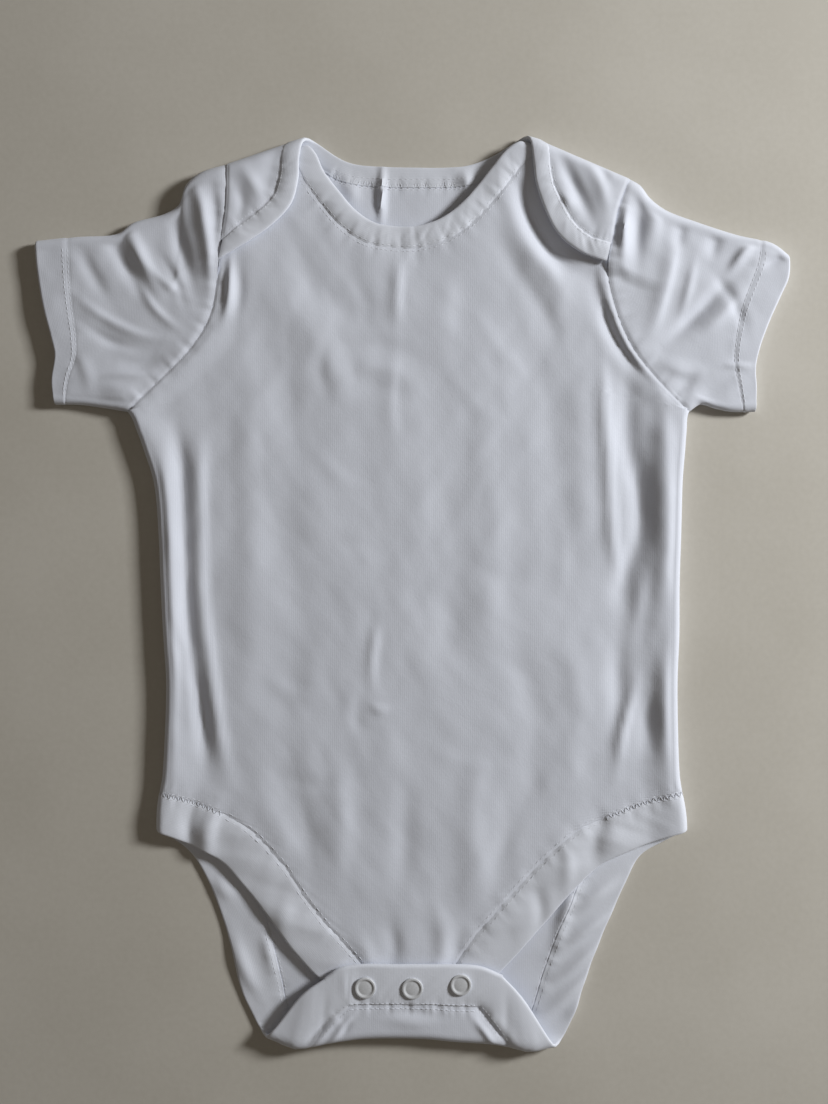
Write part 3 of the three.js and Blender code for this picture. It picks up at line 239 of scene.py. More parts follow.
SLEEVE_CREASES = {
    "left": [
        (-1.3, 3.4, 3.4, [(-134, 160), (-125, 143), (-114, 126)]),
        (1.6, 2.8, 3, [(-126, 163), (-119, 148), (-110, 130)]),
        (-1.5, 3.6, 3.2, [(-105, 172), (-101, 152), (-94, 126)]),
        (1.7, 2.3, 3.4, [(-98, 184), (-92, 170.5), (-90, 160), (-88, 147), (-87.6, 128)]),
        (-0.8, 2.2, 2.4, [(-88, 182), (-85.4, 166), (-84.4, 150)]),
        (-0.8, 3, 3, [(-146, 154), (-140, 140), (-130, 124)]),
        (0.7, 1.8, 2, [(-138, 94), (-127, 95.4), (-114, 95.5)]),
        (0.9, 4, 5, [(-140, 91), (-127, 88), (-114, 88)]),
        (-0.8, 3, 3, [(-130, 101), (-118, 100), (-106, 104)]),
        (0.8, 2, 2.6, [(-150, 132), (-134, 120), (-116, 112), (-102, 111)]),
        (-0.7, 2.4, 2.4, [(-146, 120), (-132, 110), (-114, 106)]),
        (0.7, 1.6, 2.2, [(-122, 140), (-112, 124), (-98, 112)]),
        (0.6, 1.6, 2, [(-118, 146), (-106, 134), (-96, 128)]),
        (-0.6, 2, 2, [(-112, 150), (-104, 138), (-98, 122)]),
        (0.5, 3, 3, [(-148, 108), (-142, 96), (-140, 86)])],
    "right": [
        (-1.6, 3.2, 3.4, [(99.4, 177), (98, 158), (97.6, 138)]),
        (1.7, 2.4, 2, [(93.4, 172), (91.6, 158), (91.6, 142)]),
        (0.6, 3, 3, [(106, 172), (104.6, 150)]),
        (1.2, 2.4, 4.6, [(115.6, 163), (112, 140), (105.4, 118), (100, 108)]),
        (-1.9, 3.4, 3, [(141, 141), (134, 132), (122, 120), (109, 108)]),
        (0.9, 2.6, 3, [(146, 136), (138, 125), (124, 112)]),
        (-0.9, 2.6, 3.4, [(119, 165), (117, 158), (115, 148)]),
        (-0.8, 2.6, 3.4, [(133, 160), (132, 152), (129, 144)]),
        (-0.8, 3, 4, [(125, 100), (119, 90), (115, 80)]),
        (0.9, 3, 4, [(130, 97), (118, 97), (106, 102)]),
        (0.7, 1.4, 1.8, [(134, 99.4), (150, 99)]),
        (1.5, 2, 2.6, [(137, 138), (144, 148), (151, 154)]),
        (-0.8, 2, 2.4, [(150, 141), (158, 145), (166, 148)]),
        (-0.8, 2.6, 2.6, [(130, 142), (140, 128), (146, 112)]),
        (0.7, 2, 2, [(124, 150), (120, 132), (116, 118)]),
        (-0.5, 3, 3, [(142, 94), (130, 88), (120, 83)])],
}
LAP_CREASES = [
    (-1.0, 4.5, 4.5, [(-56, 197), (-61, 184), (-64, 172)]),
    (0.9, 3, 3, [(-76, 188), (-68, 176), (-64, 166)]),
    (-0.7, 2.6, 2.6, [(-78, 180), (-74, 170), (-76, 160)]),
    (-1.5, 2.8, 2.8, [(62, 195), (67, 184), (74, 170), (80, 157)]),
    (1.0, 2.6, 3, [(74, 190), (82, 176), (85, 162)]),
    (-0.9, 2.2, 2.2, [(80, 188), (86, 178)]), (0.6, 2, 2, [(64, 176), (70, 166)])]
FLAP_CREASES = [
    (1.1, 1.9, 2.2, [(-27, -180), (-36, -188), (-46, -198)]),
    (-0.8, 1.6, 1.6, [(-30, -179), (-40, -188), (-50, -196)]),
    (0.8, 1.6, 1.8, [(-24, -182), (-31, -190), (-38, -198)]),
    (-0.6, 1.6, 1.6, [(-26, -186), (-32, -194)]),
    (-0.7, 3.2, 3.2, [(24, -177), (32, -184), (36, -188)]),
    (0.6, 2.4, 2.4, [(30, -178), (38, -187), (48, -198)]),
    (-0.8, 2.6, 2.6, [(34, -184), (40, -192), (46, -201)]),
    (0.8, 1.6, 1.8, [(26, -184), (33, -192), (37, -198)]),
    (0.5, 3, 3, [(-14, -187), (2, -188.5), (14, -187)]),
    (-0.4, 2, 2, [(-12, -184), (0, -183.4), (13, -184)])]
BACK_CREASES = [
    (1.9, 1.5, 1.5, [(-13, 190), (-13.4, 178), (-13.6, 168), (-13.8, 160)]),
    (0.9, 3, 3, [(-30, 184), (-24, 170)]), (1.2, 3.4, 3.4, [(20, 186), (29, 175)]),
    (1.5, 2.6, 3, [(76, -118), (67, -140), (62, -160)]),
    (1.5, 2.6, 3, [(94, -122), (78, -134), (62, -142)]),
    (1.7, 2.2, 3, [(92, -136), (76, -148), (60, -158)]),
    (1.6, 2.2, 3, [(88, -148), (73, -162), (58, -172)]),
    (1.6, 2.2, 3, [(84, -160), (70, -174), (54, -184)]), (0.9, 3, 3, [(78, -176), (66, -188)]),
    (1.1, 3, 3, [(-80, -146), (-74, -164), (-66, -180)]), (0.9, 2.6, 2.6, [(-66, -146), (-60, -170)]),
    (0.8, 3, 3, [(-88, -124), (-78, -136)]), (0.8, 2.4, 2.4, [(-52, -150), (-46, -168)])]

# Gathers that the stitching pulls beside a seam: wave per mm along it, phase, share
GATHERS = [(0.95, 0.3, 0.5), (1.55, 2.1, 0.35), (0.52, 4.4, 0.4), (2.3, 1.2, 0.2)]

# Slight unevenness of worn cotton: wave along x and y per mm, phase, height
RIPPLES = [
    (0.19, 0.03, 0.4, 0.09), (0.31, -0.05, 1.9, 0.06), (0.11, 0.09, 2.7, 0.12),
    (0.07, -0.13, 4.1, 0.11), (0.43, 0.11, 0.9, 0.035), (-0.23, 0.21, 5.2, 0.05),
    (0.05, 0.29, 3.3, 0.035), (0.52, -0.31, 1.1, 0.022), (0.37, 0.33, 2.2, 0.024),
    (-0.31, 0.42, 0.6, 0.018), (0.71, 0.24, 4.6, 0.012), (0.62, 0.57, 3.9, 0.01)]

# Columns and rows of the panels' grids: shares near a side at the body and at the shoulder, then counts
EDGE_SHARES = [0, 0.011, 0.022, 0.06, 0.13, 0.21]
SHOULDER_SHARES = [0, 0.05, 0.1, 0.32, 0.64, 1]
SHOULDER_COLUMNS, NECK_COLUMNS = 40, 84
LEG_ROWS, SIDE_ROWS, ARMHOLE_ROWS, LAP_ROWS, FLAP_ROWS = 64, 104, 62, 30, 22


def ease(low, high, value):
    t = np.clip((value - low) / (high - low), 0, 1)
    return t * t * (3 - 2 * t)


def mix(a, b, t):
    return a + (b - a) * t


def even(count):
    return np.linspace(0, 1, count + 1)


def resampled(shares, count):
    """A list of growing shares, with as many steps as asked for."""
    return np.interp(np.linspace(0, len(shares) - 1, count + 1), np.arange(len(shares)), shares)


def track(rows, at):
    """Smooth values from a table of (place, value) rows."""
    at = np.clip(np.asarray(at, float), rows[0, 0], rows[-1, 0])
    x, y = rows[:, 0], rows[:, 1]
    slope = np.empty(len(x))
    slope[1:-1] = (y[2:] - y[:-2]) / (x[2:] - x[:-2])
    slope[0] = (y[1] - y[0]) / (x[1] - x[0])
    slope[-1] = (y[-1] - y[-2]) / (x[-1] - x[-2])
    i = np.clip(np.searchsorted(x, at, side="right") - 1, 0, len(x) - 2)
    span = x[i + 1] - x[i]
    t = (at - x[i]) / span
    return ((2 * t**3 - 3 * t**2 + 1) * y[i] + (t**3 - 2 * t**2 + t) * span * slope[i]
            + (3 * t**2 - 2 * t**3) * y[i + 1] + (t**3 - t**2) * span * slope[i + 1])


def spline(points, shares):
    """Centripetal curve through points, at shares of its parameter."""
    p = np.asarray(points, float)
    p = np.vstack([2 * p[0] - p[1], p, 2 * p[-1] - p[-2]])
    place = np.clip(np.asarray(shares, float), 0, 1) * (len(p) - 3)
    i = np.minimum(place.astype(int), len(p) - 4)
    t = (place - i)[..., None]
    a, b, c, d = p[i], p[i + 1], p[i + 2], p[i + 3]
    da, db, dc = (np.sqrt(np.linalg.norm(v, axis=-1))[..., None] for v in (b - a, c - b, d - c))
    out = ((b - a) / da - (c - a) / (da + db) + (c - b) / db) * db
    into = ((c - b) / db - (d - b) / (db + dc) + (d - c) / dc) * db
    return b + out * t + (3 * (c - b) - 2 * out - into) * t**2 + (2 * (b - c) + out + into) * t**3


class Curve:
    """A spline walked by its length."""

    def __init__(self, points):
        self.dense = spline(points, np.linspace(0, 1, 2000))
        steps = np.linalg.norm(np.diff(self.dense, axis=0), axis=1)
        self.length = np.concatenate([[0], np.cumsum(steps)])
        self.shares = self.length / self.length[-1]

    def at(self, shares):
        return np.stack([np.interp(shares, self.shares, self.dense[:, k]) for k in (0, 1)], -1)

    def share_where(self, test, low, high):
        """Share at which a test of x and y turns from true to false."""
        for _ in range(40):
            middle = (low + high) / 2
            if test(*self.at(middle)):
                low = middle
            else:
                high = middle
        return (low + high) / 2


class Fold:
    """A straight fold: where the cloth starts to roll, which way, and its radius."""

    def __init__(self, start, normal, radius):
        self.start, self.normal, self.radius = np.array(start, float), np.array(normal, float), radius

    def beyond(self, x, y):
        return self.normal[0] * (x - self.start[0]) + self.normal[1] * (y - self.start[1])

    def roll(self, x, y):
        """Place in plan and climb of flat points past the start."""
        run = self.beyond(x, y)
        arc = math.pi * self.radius
        reach = np.where(run < arc, self.radius * np.sin(run / self.radius), arc - run)
        climb = np.where(run < arc, self.radius * (1 - np.cos(run / self.radius)), 2 * self.radius)
        return x + self.normal[0] * (reach - run), y + self.normal[1] * (reach - run), climb

    def unfold(self, x, y):
        """Flat place of points that are seen on the folded-over layer."""
        inside = -self.beyond(x, y)
        arc = math.pi * self.radius
        over = self.radius * (math.pi - np.arcsin(np.clip(-inside / self.radius, -1, 1)))
        run = np.where(inside >= 0, arc + inside, over)
        return x + self.normal[0] * (run + inside), y + self.normal[1] * (run + inside)


def straight_fold(a, b, radius, outward_y):
    along = np.array(b, float) - np.array(a, float)
    along /= np.linalg.norm(along)
    normal = np.array([-along[1], along[0]])
    if normal[1] * outward_y < 0:
        normal = -normal
    return Fold(np.array(a, float) - normal * radius, normal, radius)


SHOULDERS = {
    "left": straight_fold((-48, 198.6), (-80.5, 187.5), SHOULDER_RADIUS, 1),
    "right": straight_fold((51.5, 199.5), (94.5, 181), SHOULDER_RADIUS, 1),
}
STRAPS = {side: Fold(f.start - f.normal * STRAP_SETBACK, f.normal, STRAP_RADIUS)
          for side, f in SHOULDERS.items()}
CROTCH = straight_fold((-1, -196.5), (1, -196.5), CROTCH_RADIUS, -1)


def beside(x, y, path, reach):
    """Which points lie near enough to a path to be moved by it."""
    return ((x > path[:, 0].min() - reach) & (x < path[:, 0].max() + reach)
            & (y > path[:, 1].min() - reach) & (y < path[:, 1].max() + reach))


def near_path(x, y, path):
    """Distance of points to a path, side of it (1 on its left), length along it and its whole length."""
    best = np.full(x.shape, 1e9)
    side, run = np.ones(x.shape), np.zeros(x.shape)
    walked = 0.0
    for (x0, y0), (x1, y1) in zip(path[:-1], path[1:]):
        length = math.hypot(x1 - x0, y1 - y0)
        ux, uy = (x1 - x0) / length, (y1 - y0) / length
        along = np.clip((x - x0) * ux + (y - y0) * uy, 0, length)
        dx, dy = x - x0 - along * ux, y - y0 - along * uy
        distance = dx * dx + dy * dy
        closer = distance < best
        best = np.where(closer, distance, best)
        side = np.where(closer, np.where(ux * (y - y0) - uy * (x - x0) >= 0, 1, -1), side)
        run = np.where(closer, walked + along, run)
        walked += length
    return np.sqrt(best), side, run, walked


def crease_rise(x, y, creases):
    """Rise of soft creases that fade towards both ends of their way."""
    total = np.zeros(np.shape(x))
    for rise, left, right, way in creases:
        path = spline(way, np.linspace(0, 1, 4 * len(way)))
        near = beside(x, y, path, 3 * max(left, right))
        if near.any():
            distance, side, run, length = near_path(x[near], y[near], path)
            end = min(0.48 * length, 24)
            fade = ease(0, end, run) * ease(length, length - end, run)
            width = mix((left + right) / 2, np.where(side > 0, left, right), fade)
            total[near] += CREASE_GAIN * rise * np.exp(-((distance / width) ** 2)) * mix(0.12, 1, fade)
    return total


def ripples(x, y):
    """Unevenness of the cloth, bent so that no wave repeats."""
    bent_x = x + 7 * np.sin(0.031 * y + 1.2) + 4 * np.sin(0.057 * x - 0.03 * y)
    bent_y = y + 8 * np.sin(0.027 * x + 0.5) + 4 * np.sin(0.049 * y + 0.041 * x)
    return sum(rise * np.sin(a * bent_x + b * bent_y + phase) for a, b, phase, rise in RIPPLES)


def gather_wave(run):
    bend = 0.8 * np.sin(0.13 * run)
    return sum(share * np.sin(wave * run + phase + bend) for wave, phase, share in GATHERS)


def seam_relief(x, y, path, reach=5.0, groove=0.22, pull=0.28):
    """Groove along a seam and the short gathers that fade away from it."""
    total = np.zeros(np.shape(x))
    near = beside(x, y, path, 3 * reach)
    if near.any():
        distance, _, run, _ = near_path(x[near], y[near], path)
        dip = np.exp(-((distance / 0.9) ** 2)) + 0.35 * np.exp(-((distance / 2.6) ** 2))
        total[near] = pull * gather_wave(run) * np.exp(-((distance / reach) ** 2)) - groove * dip
    return total


def straight(a, b, shares):
    a, b = np.asarray(a, float), np.asarray(b, float)
    return a + (b - a) * np.asarray(shares)[:, None]


def joined(*runs):
    return np.vstack([runs[0]] + [run[1:] for run in runs[1:]])


def flat_section(row):
    """Flat cut of a band's cross-section, from the layer where it is seen."""
    layer = row[4]

    def spread(x, y):
        side = "left" if x < 0 else "right"
        folds = {"lap": SHOULDERS[side], "under": STRAPS[side], "flap": CROTCH}
        if layer in folds:
            return folds[layer].unfold(x, y)
        return (x + math.copysign(QUARTER, x), y) if layer == "side" else (x, y)

    return [np.array(spread(*row[0:2]), float), np.array(spread(*row[2:4]), float)]


class Band:
    """The flat cut of a band and of the panel edge that it is sewn to."""

    def __init__(self, rows):
        flat = np.array([flat_section(row) for row in rows])
        self.outer, self.seam = flat[:, 0], flat[:, 1]
        way = self.seam - self.outer
        width = np.linalg.norm(way, axis=1, keepdims=True)
        self.panel = Curve(self.seam - way / width * SEAM_LAP)
        self.length = Curve(self.outer).length[-1]
        self.width = float(width.mean())

    def across(self, shares, across):
        """Flat points at shares of the band's way and shares of its width, 1 at the seam."""
        outer, seam = spline(self.outer, shares), spline(self.seam, shares)
        return outer + (seam - outer) * np.asarray(across)[..., None]


BACK_NECK = Band(BACK_NECK_BAND)
FRONT_NECK = Band(FRONT_NECK_BAND)
LEGS = {}
for side, rows in LEG_BANDS.items():
    at_side = [row[4] for row in rows].index("side")
    LEGS[side] = {"front": Band(rows[:at_side + 1]), "back": Band(rows[at_side:])}

# Seams that pull the cloth beside them, as paths in plan
FRONT_SEAMS = [FRONT_NECK.panel.at(np.linspace(0.27, 0.745, 90)),
               *(LEGS[side]["front"].panel.at(even(60)) for side in LEGS)]
BACK_SEAMS = [BACK_NECK.panel.at(np.linspace(0.3, 0.7, 60)),
              *(LEGS[side]["back"].panel.at(0.8 * even(60)) for side in LEGS)]
ARMHOLE_SEAMS = {side: Curve(points).at(even(50)) for side, points in ARMHOLES.items()}
LAP_SEAMS = [np.array([row[2:4] for row in rows], float)
             for rows in (BACK_NECK_BAND[:6], BACK_NECK_BAND[13:])]
FLAP_SEAMS = [np.array([(-39, -190), (-33, -185.4), (-27.5, -180.5)]),
              np.array([(38, -191), (33, -185.6), (28.8, -180.5)]),
              np.array([(-27.5, -180.5), (28.8, -180.5)])]
FRONT_EDGE = {
    "left": np.vstack([SIDE_LEFT[:-2], [(y, x) for x, y in ARMHOLES["left"]]]),
    "right": np.vstack([SIDE_RIGHT[:-2], [(y, x) for x, y in ARMHOLES["right"]]]),
}


def front_level(x, y):
    """Height of the front's outer face without creases, then how freely it creases and is gathered."""
    inset = np.minimum(x - track(FRONT_EDGE["left"], y), track(FRONT_EDGE["right"], y) - x)
    strap = np.where(x < 0, -SHOULDERS["left"].beyond(x, y), -SHOULDERS["right"].beyond(x, y))
    edge_top = mix(2 * SIDE_RADIUS, ARMHOLE_HEIGHT, ease(72, CHEST_Y, y))
    edge_rise = (edge_top - FRONT_PLATEAU) * (1 - ease(4, 18, inset))
    strap_loss = mix(ease(40, 72, strap), ease(0, 40, strap), 0.34)
    strap_rise = (STRAP_HEIGHT - FRONT_PLATEAU) * (1 - strap_loss)
    level = FRONT_PLATEAU + np.maximum(edge_rise, strap_rise)
    level = level - (FRONT_PLATEAU - CROTCH_HEIGHT) * ease(-110, -150, y)
    return level, ease(1.5, 6, inset) * ease(4, 12, strap) * ease(-178, -160, y), ease(1, 8, strap)


def front_height(x, y):
    level, free, held = front_level(x, y)
    level = level + free * (crease_rise(x, y, FRONT_CREASES) + ripples(x, y))
    seams = sum(seam_relief(x, y, path) for path in FRONT_SEAMS)
    armholes = sum(seam_relief(x, y, path, 4.0, 0.36, 0.25) for path in ARMHOLE_SEAMS.values())
    return level + ease(-178, -170, y) * held * seams + ease(150, 138, y) * armholes


def strayed(x, y, z):
    rise = track(CROTCH_WAVE, x) * (1 - ease(-192, -168, y))
    return np.stack([x, y + rise, z], -1)


def side_fold(x, y):
    sign = np.where(x < 0, -1.0, 1.0)
    line = np.where(x < 0, track(SIDE_LEFT, y), track(SIDE_RIGHT, y)) - sign * SIDE_RADIUS
    return sign, line, sign * (x - line)


def side_roll(x, y):
    sign, line, run = side_fold(x, y)
    turn = np.clip(run, 0, None) / SIDE_RADIUS
    rolled = line + sign * SIDE_RADIUS * np.sin(turn)
    return np.where(run > 0, rolled, x), SIDE_RADIUS * (1 - np.cos(turn))


def over_shoulder(x, y, side, fold):
    return (fold.beyond(x, y) > 0) & (y > CHEST_Y) & ((x < 0) == (side == "left"))


def lap_relief(x, y):
    seams = sum(seam_relief(x, y, path, 3.5, 0.24, 0.22) for path in LAP_SEAMS)
    armholes = sum(seam_relief(x, y, path, 3.0, 0.4, 0.15) for path in ARMHOLE_SEAMS.values())
    return crease_rise(x, y, LAP_CREASES) + 0.8 * ripples(x, y) + seams + armholes


def flap_relief(x, y):
    seams = sum(seam_relief(x, y, path, 3.2, 0.25, 0.25) for path in FLAP_SEAMS)
    return crease_rise(x, y, FLAP_CREASES) + seams


def place_back(p):
    """Outer face of the back and all that is sewn to it, from points of its flat cut."""
    x, y = p[..., 0], p[..., 1]
    px, z = side_roll(x, y)
    py = y
    for side, fold in SHOULDERS.items():
        over = over_shoulder(x, y, side, fold)
        fx, fy, fz = fold.roll(x, y)
        fz = fz + ease(LAP_TOP - 2, LAP_TOP, fz) * lap_relief(fx, fy)
        px, py, z = np.where(over, fx, px), np.where(over, fy, py), np.where(over, fz, z)
    over = CROTCH.beyond(x, y) > 0
    fx, fy, fz = CROTCH.roll(x, y)
    fz = fz + ease(FLAP_TOP - 3, FLAP_TOP, fz) * flap_relief(fx, fy)
    px, py, z = np.where(over, fx, px), np.where(over, fy, py), np.where(over, fz, z)
    return strayed(px, py, z)


def place_front(p):
    """Outer face of the front and all that is sewn to it."""
    x, y = p[..., 0], p[..., 1]
    _, line, run = side_fold(x, y)
    px, climb = side_roll(x, y)
    py = y
    z = front_height(np.where(run > 0, line, x), y) - climb
    for side, fold in STRAPS.items():
        over = over_shoulder(x, y, side, fold)
        fx, fy, fz = fold.roll(x, y)
        px, py, z = np.where(over, fx, px), np.where(over, fy, py), np.where(over, STRAP_HEIGHT - fz, z)
    return strayed(px, py, z)


def outward(place, p, inward):
    """Spots of flat points and the directions that point out of the cloth there."""
    step = 0.02
    dx = place(p + np.array([step, 0])) - place(p - np.array([step, 0]))
    dy = place(p + np.array([0, step])) - place(p - np.array([0, step]))
    normal = np.cross(dx, dy)
    return place(p), -inward * normal / np.linalg.norm(normal, axis=-1, keepdims=True)


def back_faces(p, wall, raised=0.0):
    """Outer and inner points of cloth on the back's form. Its inner face carries the creases."""
    outer, normal = outward(place_back, p, 1)
    inner = outer - normal * wall
    x, y = p[..., 0], p[..., 1]
    seams = sum(seam_relief(x, y, path, 3.0, 0.25, 0.25) for path in BACK_SEAMS)
    lift = np.maximum(crease_rise(x, y, BACK_CREASES), -0.3) + seams + 0.5 * ripples(x, y)
    inner[..., 2] += ease(2.0, 0.5, outer[..., 2]) * lift
    out = np.where(outer[..., 2] > 1.0, raised, np.minimum(raised, 0.0))
    return outer + normal * out[..., None], inner, p


def front_faces(p, wall, raised=0.0):
    outer, normal = outward(place_front, p, -1)
    return outer + normal * np.asarray(raised)[..., None], outer - normal * wall, p


def fill_between(bottom, top, left, right, columns, rows):
    """Grid of flat points between four edges that share their corners."""
    u, v = columns[None, :, None], rows[:, None, None]
    corners = mix(mix(bottom[0], bottom[-1], u), mix(top[0], top[-1], u), v)
    return mix(bottom[None], top[None], v) + mix(left[:, None], right[:, None], u) - corners


def side_edge(side):
    y = mix(SIDE_BOTTOM_Y, UNDERARM_Y, even(SIDE_ROWS))
    table, sign = (SIDE_LEFT, -1) if side == "left" else (SIDE_RIGHT, 1)
    return np.stack([track(table, y) + sign * QUARTER, y], -1)


def flat_on_side(p):
    """The flat place of plan points that lie on the side roll."""
    sign, line, reach = side_fold(p[..., 0], p[..., 1])
    run = SIDE_RADIUS * np.arcsin(np.clip(reach / SIDE_RADIUS, -1, 1))
    x = np.where(reach > 0, line + sign * run, p[..., 0])
    return np.stack([x, p[..., 1]], -1)


def lap_armhole(side, fold, end, rows):
    """Armhole edge of the cloth that rolls over the shoulder, down to its own seam."""
    plan = Curve(ARMHOLES[side])
    start = plan.share_where(lambda x, y: fold.beyond(x, y) < 0, 0.6, 1.0)
    stop = plan.share_where(lambda x, y: y < end[1], 0.3, 1.0)
    foot, crest = plan.at(start), plan.at(min(1.0, start + 0.001))
    per_reach = (crest - foot) / (fold.beyond(*crest) - fold.beyond(*foot))
    arc = math.pi * fold.radius
    total = arc + fold.beyond(*foot) - fold.beyond(*end)
    run = rows * total
    out = fold.radius * np.sin(np.clip(run, 0, arc) / fold.radius)
    rolled = foot + per_reach * out[:, None] + fold.normal * (np.clip(run, 0, arc) - out)[:, None]
    seen = plan.at(mix(start, stop, np.clip((run - arc) / (total - arc), 0, 1)))
    flat = np.stack(fold.unfold(seen[:, 0], seen[:, 1]), -1)
    return np.where((run < arc)[:, None], rolled, flat)


def shoulder_block(side, band, fold, fold_share, start):
    """Flat cut of the cloth past a shoulder fold, down to the tip of its lap."""
    tip_share = 0.0 if side == "left" else 1.0
    bend_share = mix(fold_share, tip_share, 0.5)
    columns, rows = resampled(SHOULDER_SHARES, SHOULDER_COLUMNS), even(LAP_ROWS)
    end = fold.roll(*band.panel.at(tip_share))[:2]
    armhole = lap_armhole(side, fold, end, rows)
    neck = band.panel.at(mix(fold_share, bend_share, rows))
    edge = band.panel.at(mix(tip_share, bend_share, columns))
    edge[0] = armhole[-1]
    block = fill_between(start, edge, armhole, neck, columns, rows)
    return block if side == "left" else block[:, ::-1]


def panel_columns():
    """Shares across a panel, close together near both sides."""
    edge = resampled(EDGE_SHARES, SHOULDER_COLUMNS)
    middle = mix(EDGE_SHARES[-1], 1 - EDGE_SHARES[-1], even(NECK_COLUMNS))
    return np.concatenate([edge, middle[1:-1], 1 - edge[::-1]])


def panel_blocks(band, legs, folds, lower_y):
    """Flat cut of the front or the back, then of both shoulders, and the body's lower edge."""
    columns = panel_columns()
    edges, starts, fold_shares = {}, {}, {}
    for side, fold in folds.items():
        tip = 0.05 if side == "left" else 0.95
        fold_shares[side] = band.panel.share_where(lambda x, y: fold.beyond(x, y) > 0, tip, 0.5)
        curve, leg_from, leg_to = legs[side]
        leg = curve.at(mix(leg_from, leg_to, even(LEG_ROWS)))
        body = side_edge(side)
        plan = Curve(ARMHOLES[side])
        start = plan.share_where(lambda x, y: fold.beyond(x, y) < 0, 0.6, 1.0)
        armhole = flat_on_side(plan.at(mix(0, start, even(ARMHOLE_ROWS))))
        leg[-1], armhole[0] = body[0], body[-1]
        edges[side] = joined(leg, body, armhole)
        shares = resampled(SHOULDER_SHARES, SHOULDER_COLUMNS)
        starts[side] = straight(armhole[-1], band.panel.at(fold_shares[side]), shares)
    neck = band.panel.at(mix(fold_shares["left"], fold_shares["right"], even(NECK_COLUMNS)))
    top = joined(starts["left"], neck, starts["right"][::-1])
    bottom = straight((edges["left"][0][0], lower_y), (edges["right"][0][0], lower_y), columns)
    edges["left"][0], edges["right"][0] = bottom[0], bottom[-1]
    rows = even(len(edges["left"]) - 1)
    body = fill_between(bottom, top, edges["left"], edges["right"], columns, rows)
    laps = [shoulder_block(side, band, folds[side], fold_shares[side], starts[side]) for side in folds]
    return body, laps, bottom


def face_outwards(obj):
    work = bmesh.new()
    work.from_mesh(obj.data)
    if work.calc_volume(signed=True) < 0:
        bmesh.ops.reverse_faces(work, faces=work.faces)
    work.to_mesh(obj.data)
    work.free()


def new_object(name, points, faces, material):
    """Smooth closed mesh from points in millimetres of the cut's own place."""
    mesh = bpy.data.meshes.new(name)
    mesh.from_pydata((np.asarray(points) * 0.001 + SHIFT).tolist(), [], faces)
    obj = bpy.data.objects.new(name, mesh)
    bpy.context.scene.collection.objects.link(obj)
    mesh.materials.append(material)
    return obj


def cloth_object(name, blocks, material):
    """One closed shell from blocks of outer points, inner points and places in the cut."""
    known, outers, inners, uvs, faces = {}, [], [], [], []
    for outer, inner, uv in blocks:
        places = uv.reshape(-1, 2)
        index = np.empty(len(places), int)
        for k, key in enumerate(map(tuple, np.round(places * 200).astype(int))):
            if key not in known:
                known[key] = len(outers)
                outers.append(outer.reshape(-1, 3)[k])
                inners.append(inner.reshape(-1, 3)[k])
                uvs.append(places[k])
            index[k] = known[key]
        grid = index.reshape(outer.shape[:2])
        quads = np.stack([grid[:-1, :-1], grid[:-1, 1:], grid[1:, 1:], grid[1:, :-1]], -1)
        faces.extend(map(tuple, quads.reshape(-1, 4).tolist()))
    count = len(outers)
    edges = {(f[k], f[(k + 1) % 4]) for f in faces for k in range(4)}
    rims = [(b, a, a + count, b + count) for a, b in edges if (b, a) not in edges and a != b]
    turned = [tuple(v + count for v in reversed(f)) for f in faces]
    closed = [list(dict.fromkeys(f)) for f in faces + turned + rims]
    obj = new_object(name, np.vstack([outers, inners]), closed, material)
    layer = obj.data.uv_layers.new(name="cut")
    flat = np.vstack([uvs, uvs]) * 0.001
    corners = np.empty(len(obj.data.loops), int)
    obj.data.loops.foreach_get("vertex_index", corners)
    layer.data.foreach_set("uv", flat[corners].ravel())
    face_outwards(obj)
    obj.data.shade_smooth()
    obj.data.set_sharp_from_angle(angle=math.radians(55))
    return obj


ACROSS = np.array([0, 0.012, 0.03, 0.06, 0.12, 0.2, 0.28, 0.36, 0.44, 0.52, 0.6, 0.68, 0.76, 0.84, 0.9,
                   0.94, 0.97, 0.988, 1])


def edge_draw(distance, wall):
    """How far a doubled edge's faces draw in near its fold."""
    depth = 1 - np.clip(distance / (wall * 0.55), 0, 1)
    return wall * 0.42 * (1 - np.sqrt(1 - depth**2))


def band_draw(across, width):
    """A band's edges draw in, the sewn one less than the folded one."""
    return edge_draw(across * width, BAND_WALL) + 0.25 * edge_draw((1 - across) * width, BAND_WALL)


def band_raise(run, across, width, length, puff):
    """Height of a band's face over the panel's: a soft roll, gathered towards its seam."""
    roll = np.sin(np.pi * np.clip(across, 0, 1)) ** 0.6
    slack = 0.5 + 0.5 * np.sin(0.09 * run + 2 * np.sin(0.05 * run))
    slant = run + 1.1 * across * width
    gathers = gather_wave(slant) * (0.1 + 0.2 * slack) * (0.3 + 0.7 * across)
    sway = 0.055 * width * (0.5 * np.sin(0.13 * slant + 1.3) + 0.5 * np.sin(0.29 * slant + 4))
    ends = ease(0, 12, run) * ease(length, length - 12, run)
    ridge = 0.08 * np.exp(-(((0.93 - across) * width / 0.75) ** 2))
    soft = puff * (roll - 0.25) + ridge + ends * roll * (gathers + sway * puff)
    return soft - band_draw(across, width)


def band_faces(band, faces_of, step, puff):
    """Outer and inner faces of a band, row by row along its way."""
    shares = even(int(band.length / step))[:, None]
    p = band.across(shares, ACROSS[None] + 0 * shares)
    raised = band_raise(shares * band.length, ACROSS[None], band.width, band.length, puff)
    outer, inner, _ = faces_of(p, BAND_WALL, raised)
    way = inner - outer
    way /= np.linalg.norm(way, axis=-1, keepdims=True)
    return outer, inner - way * band_draw(ACROSS, band.width)[None, :, None]


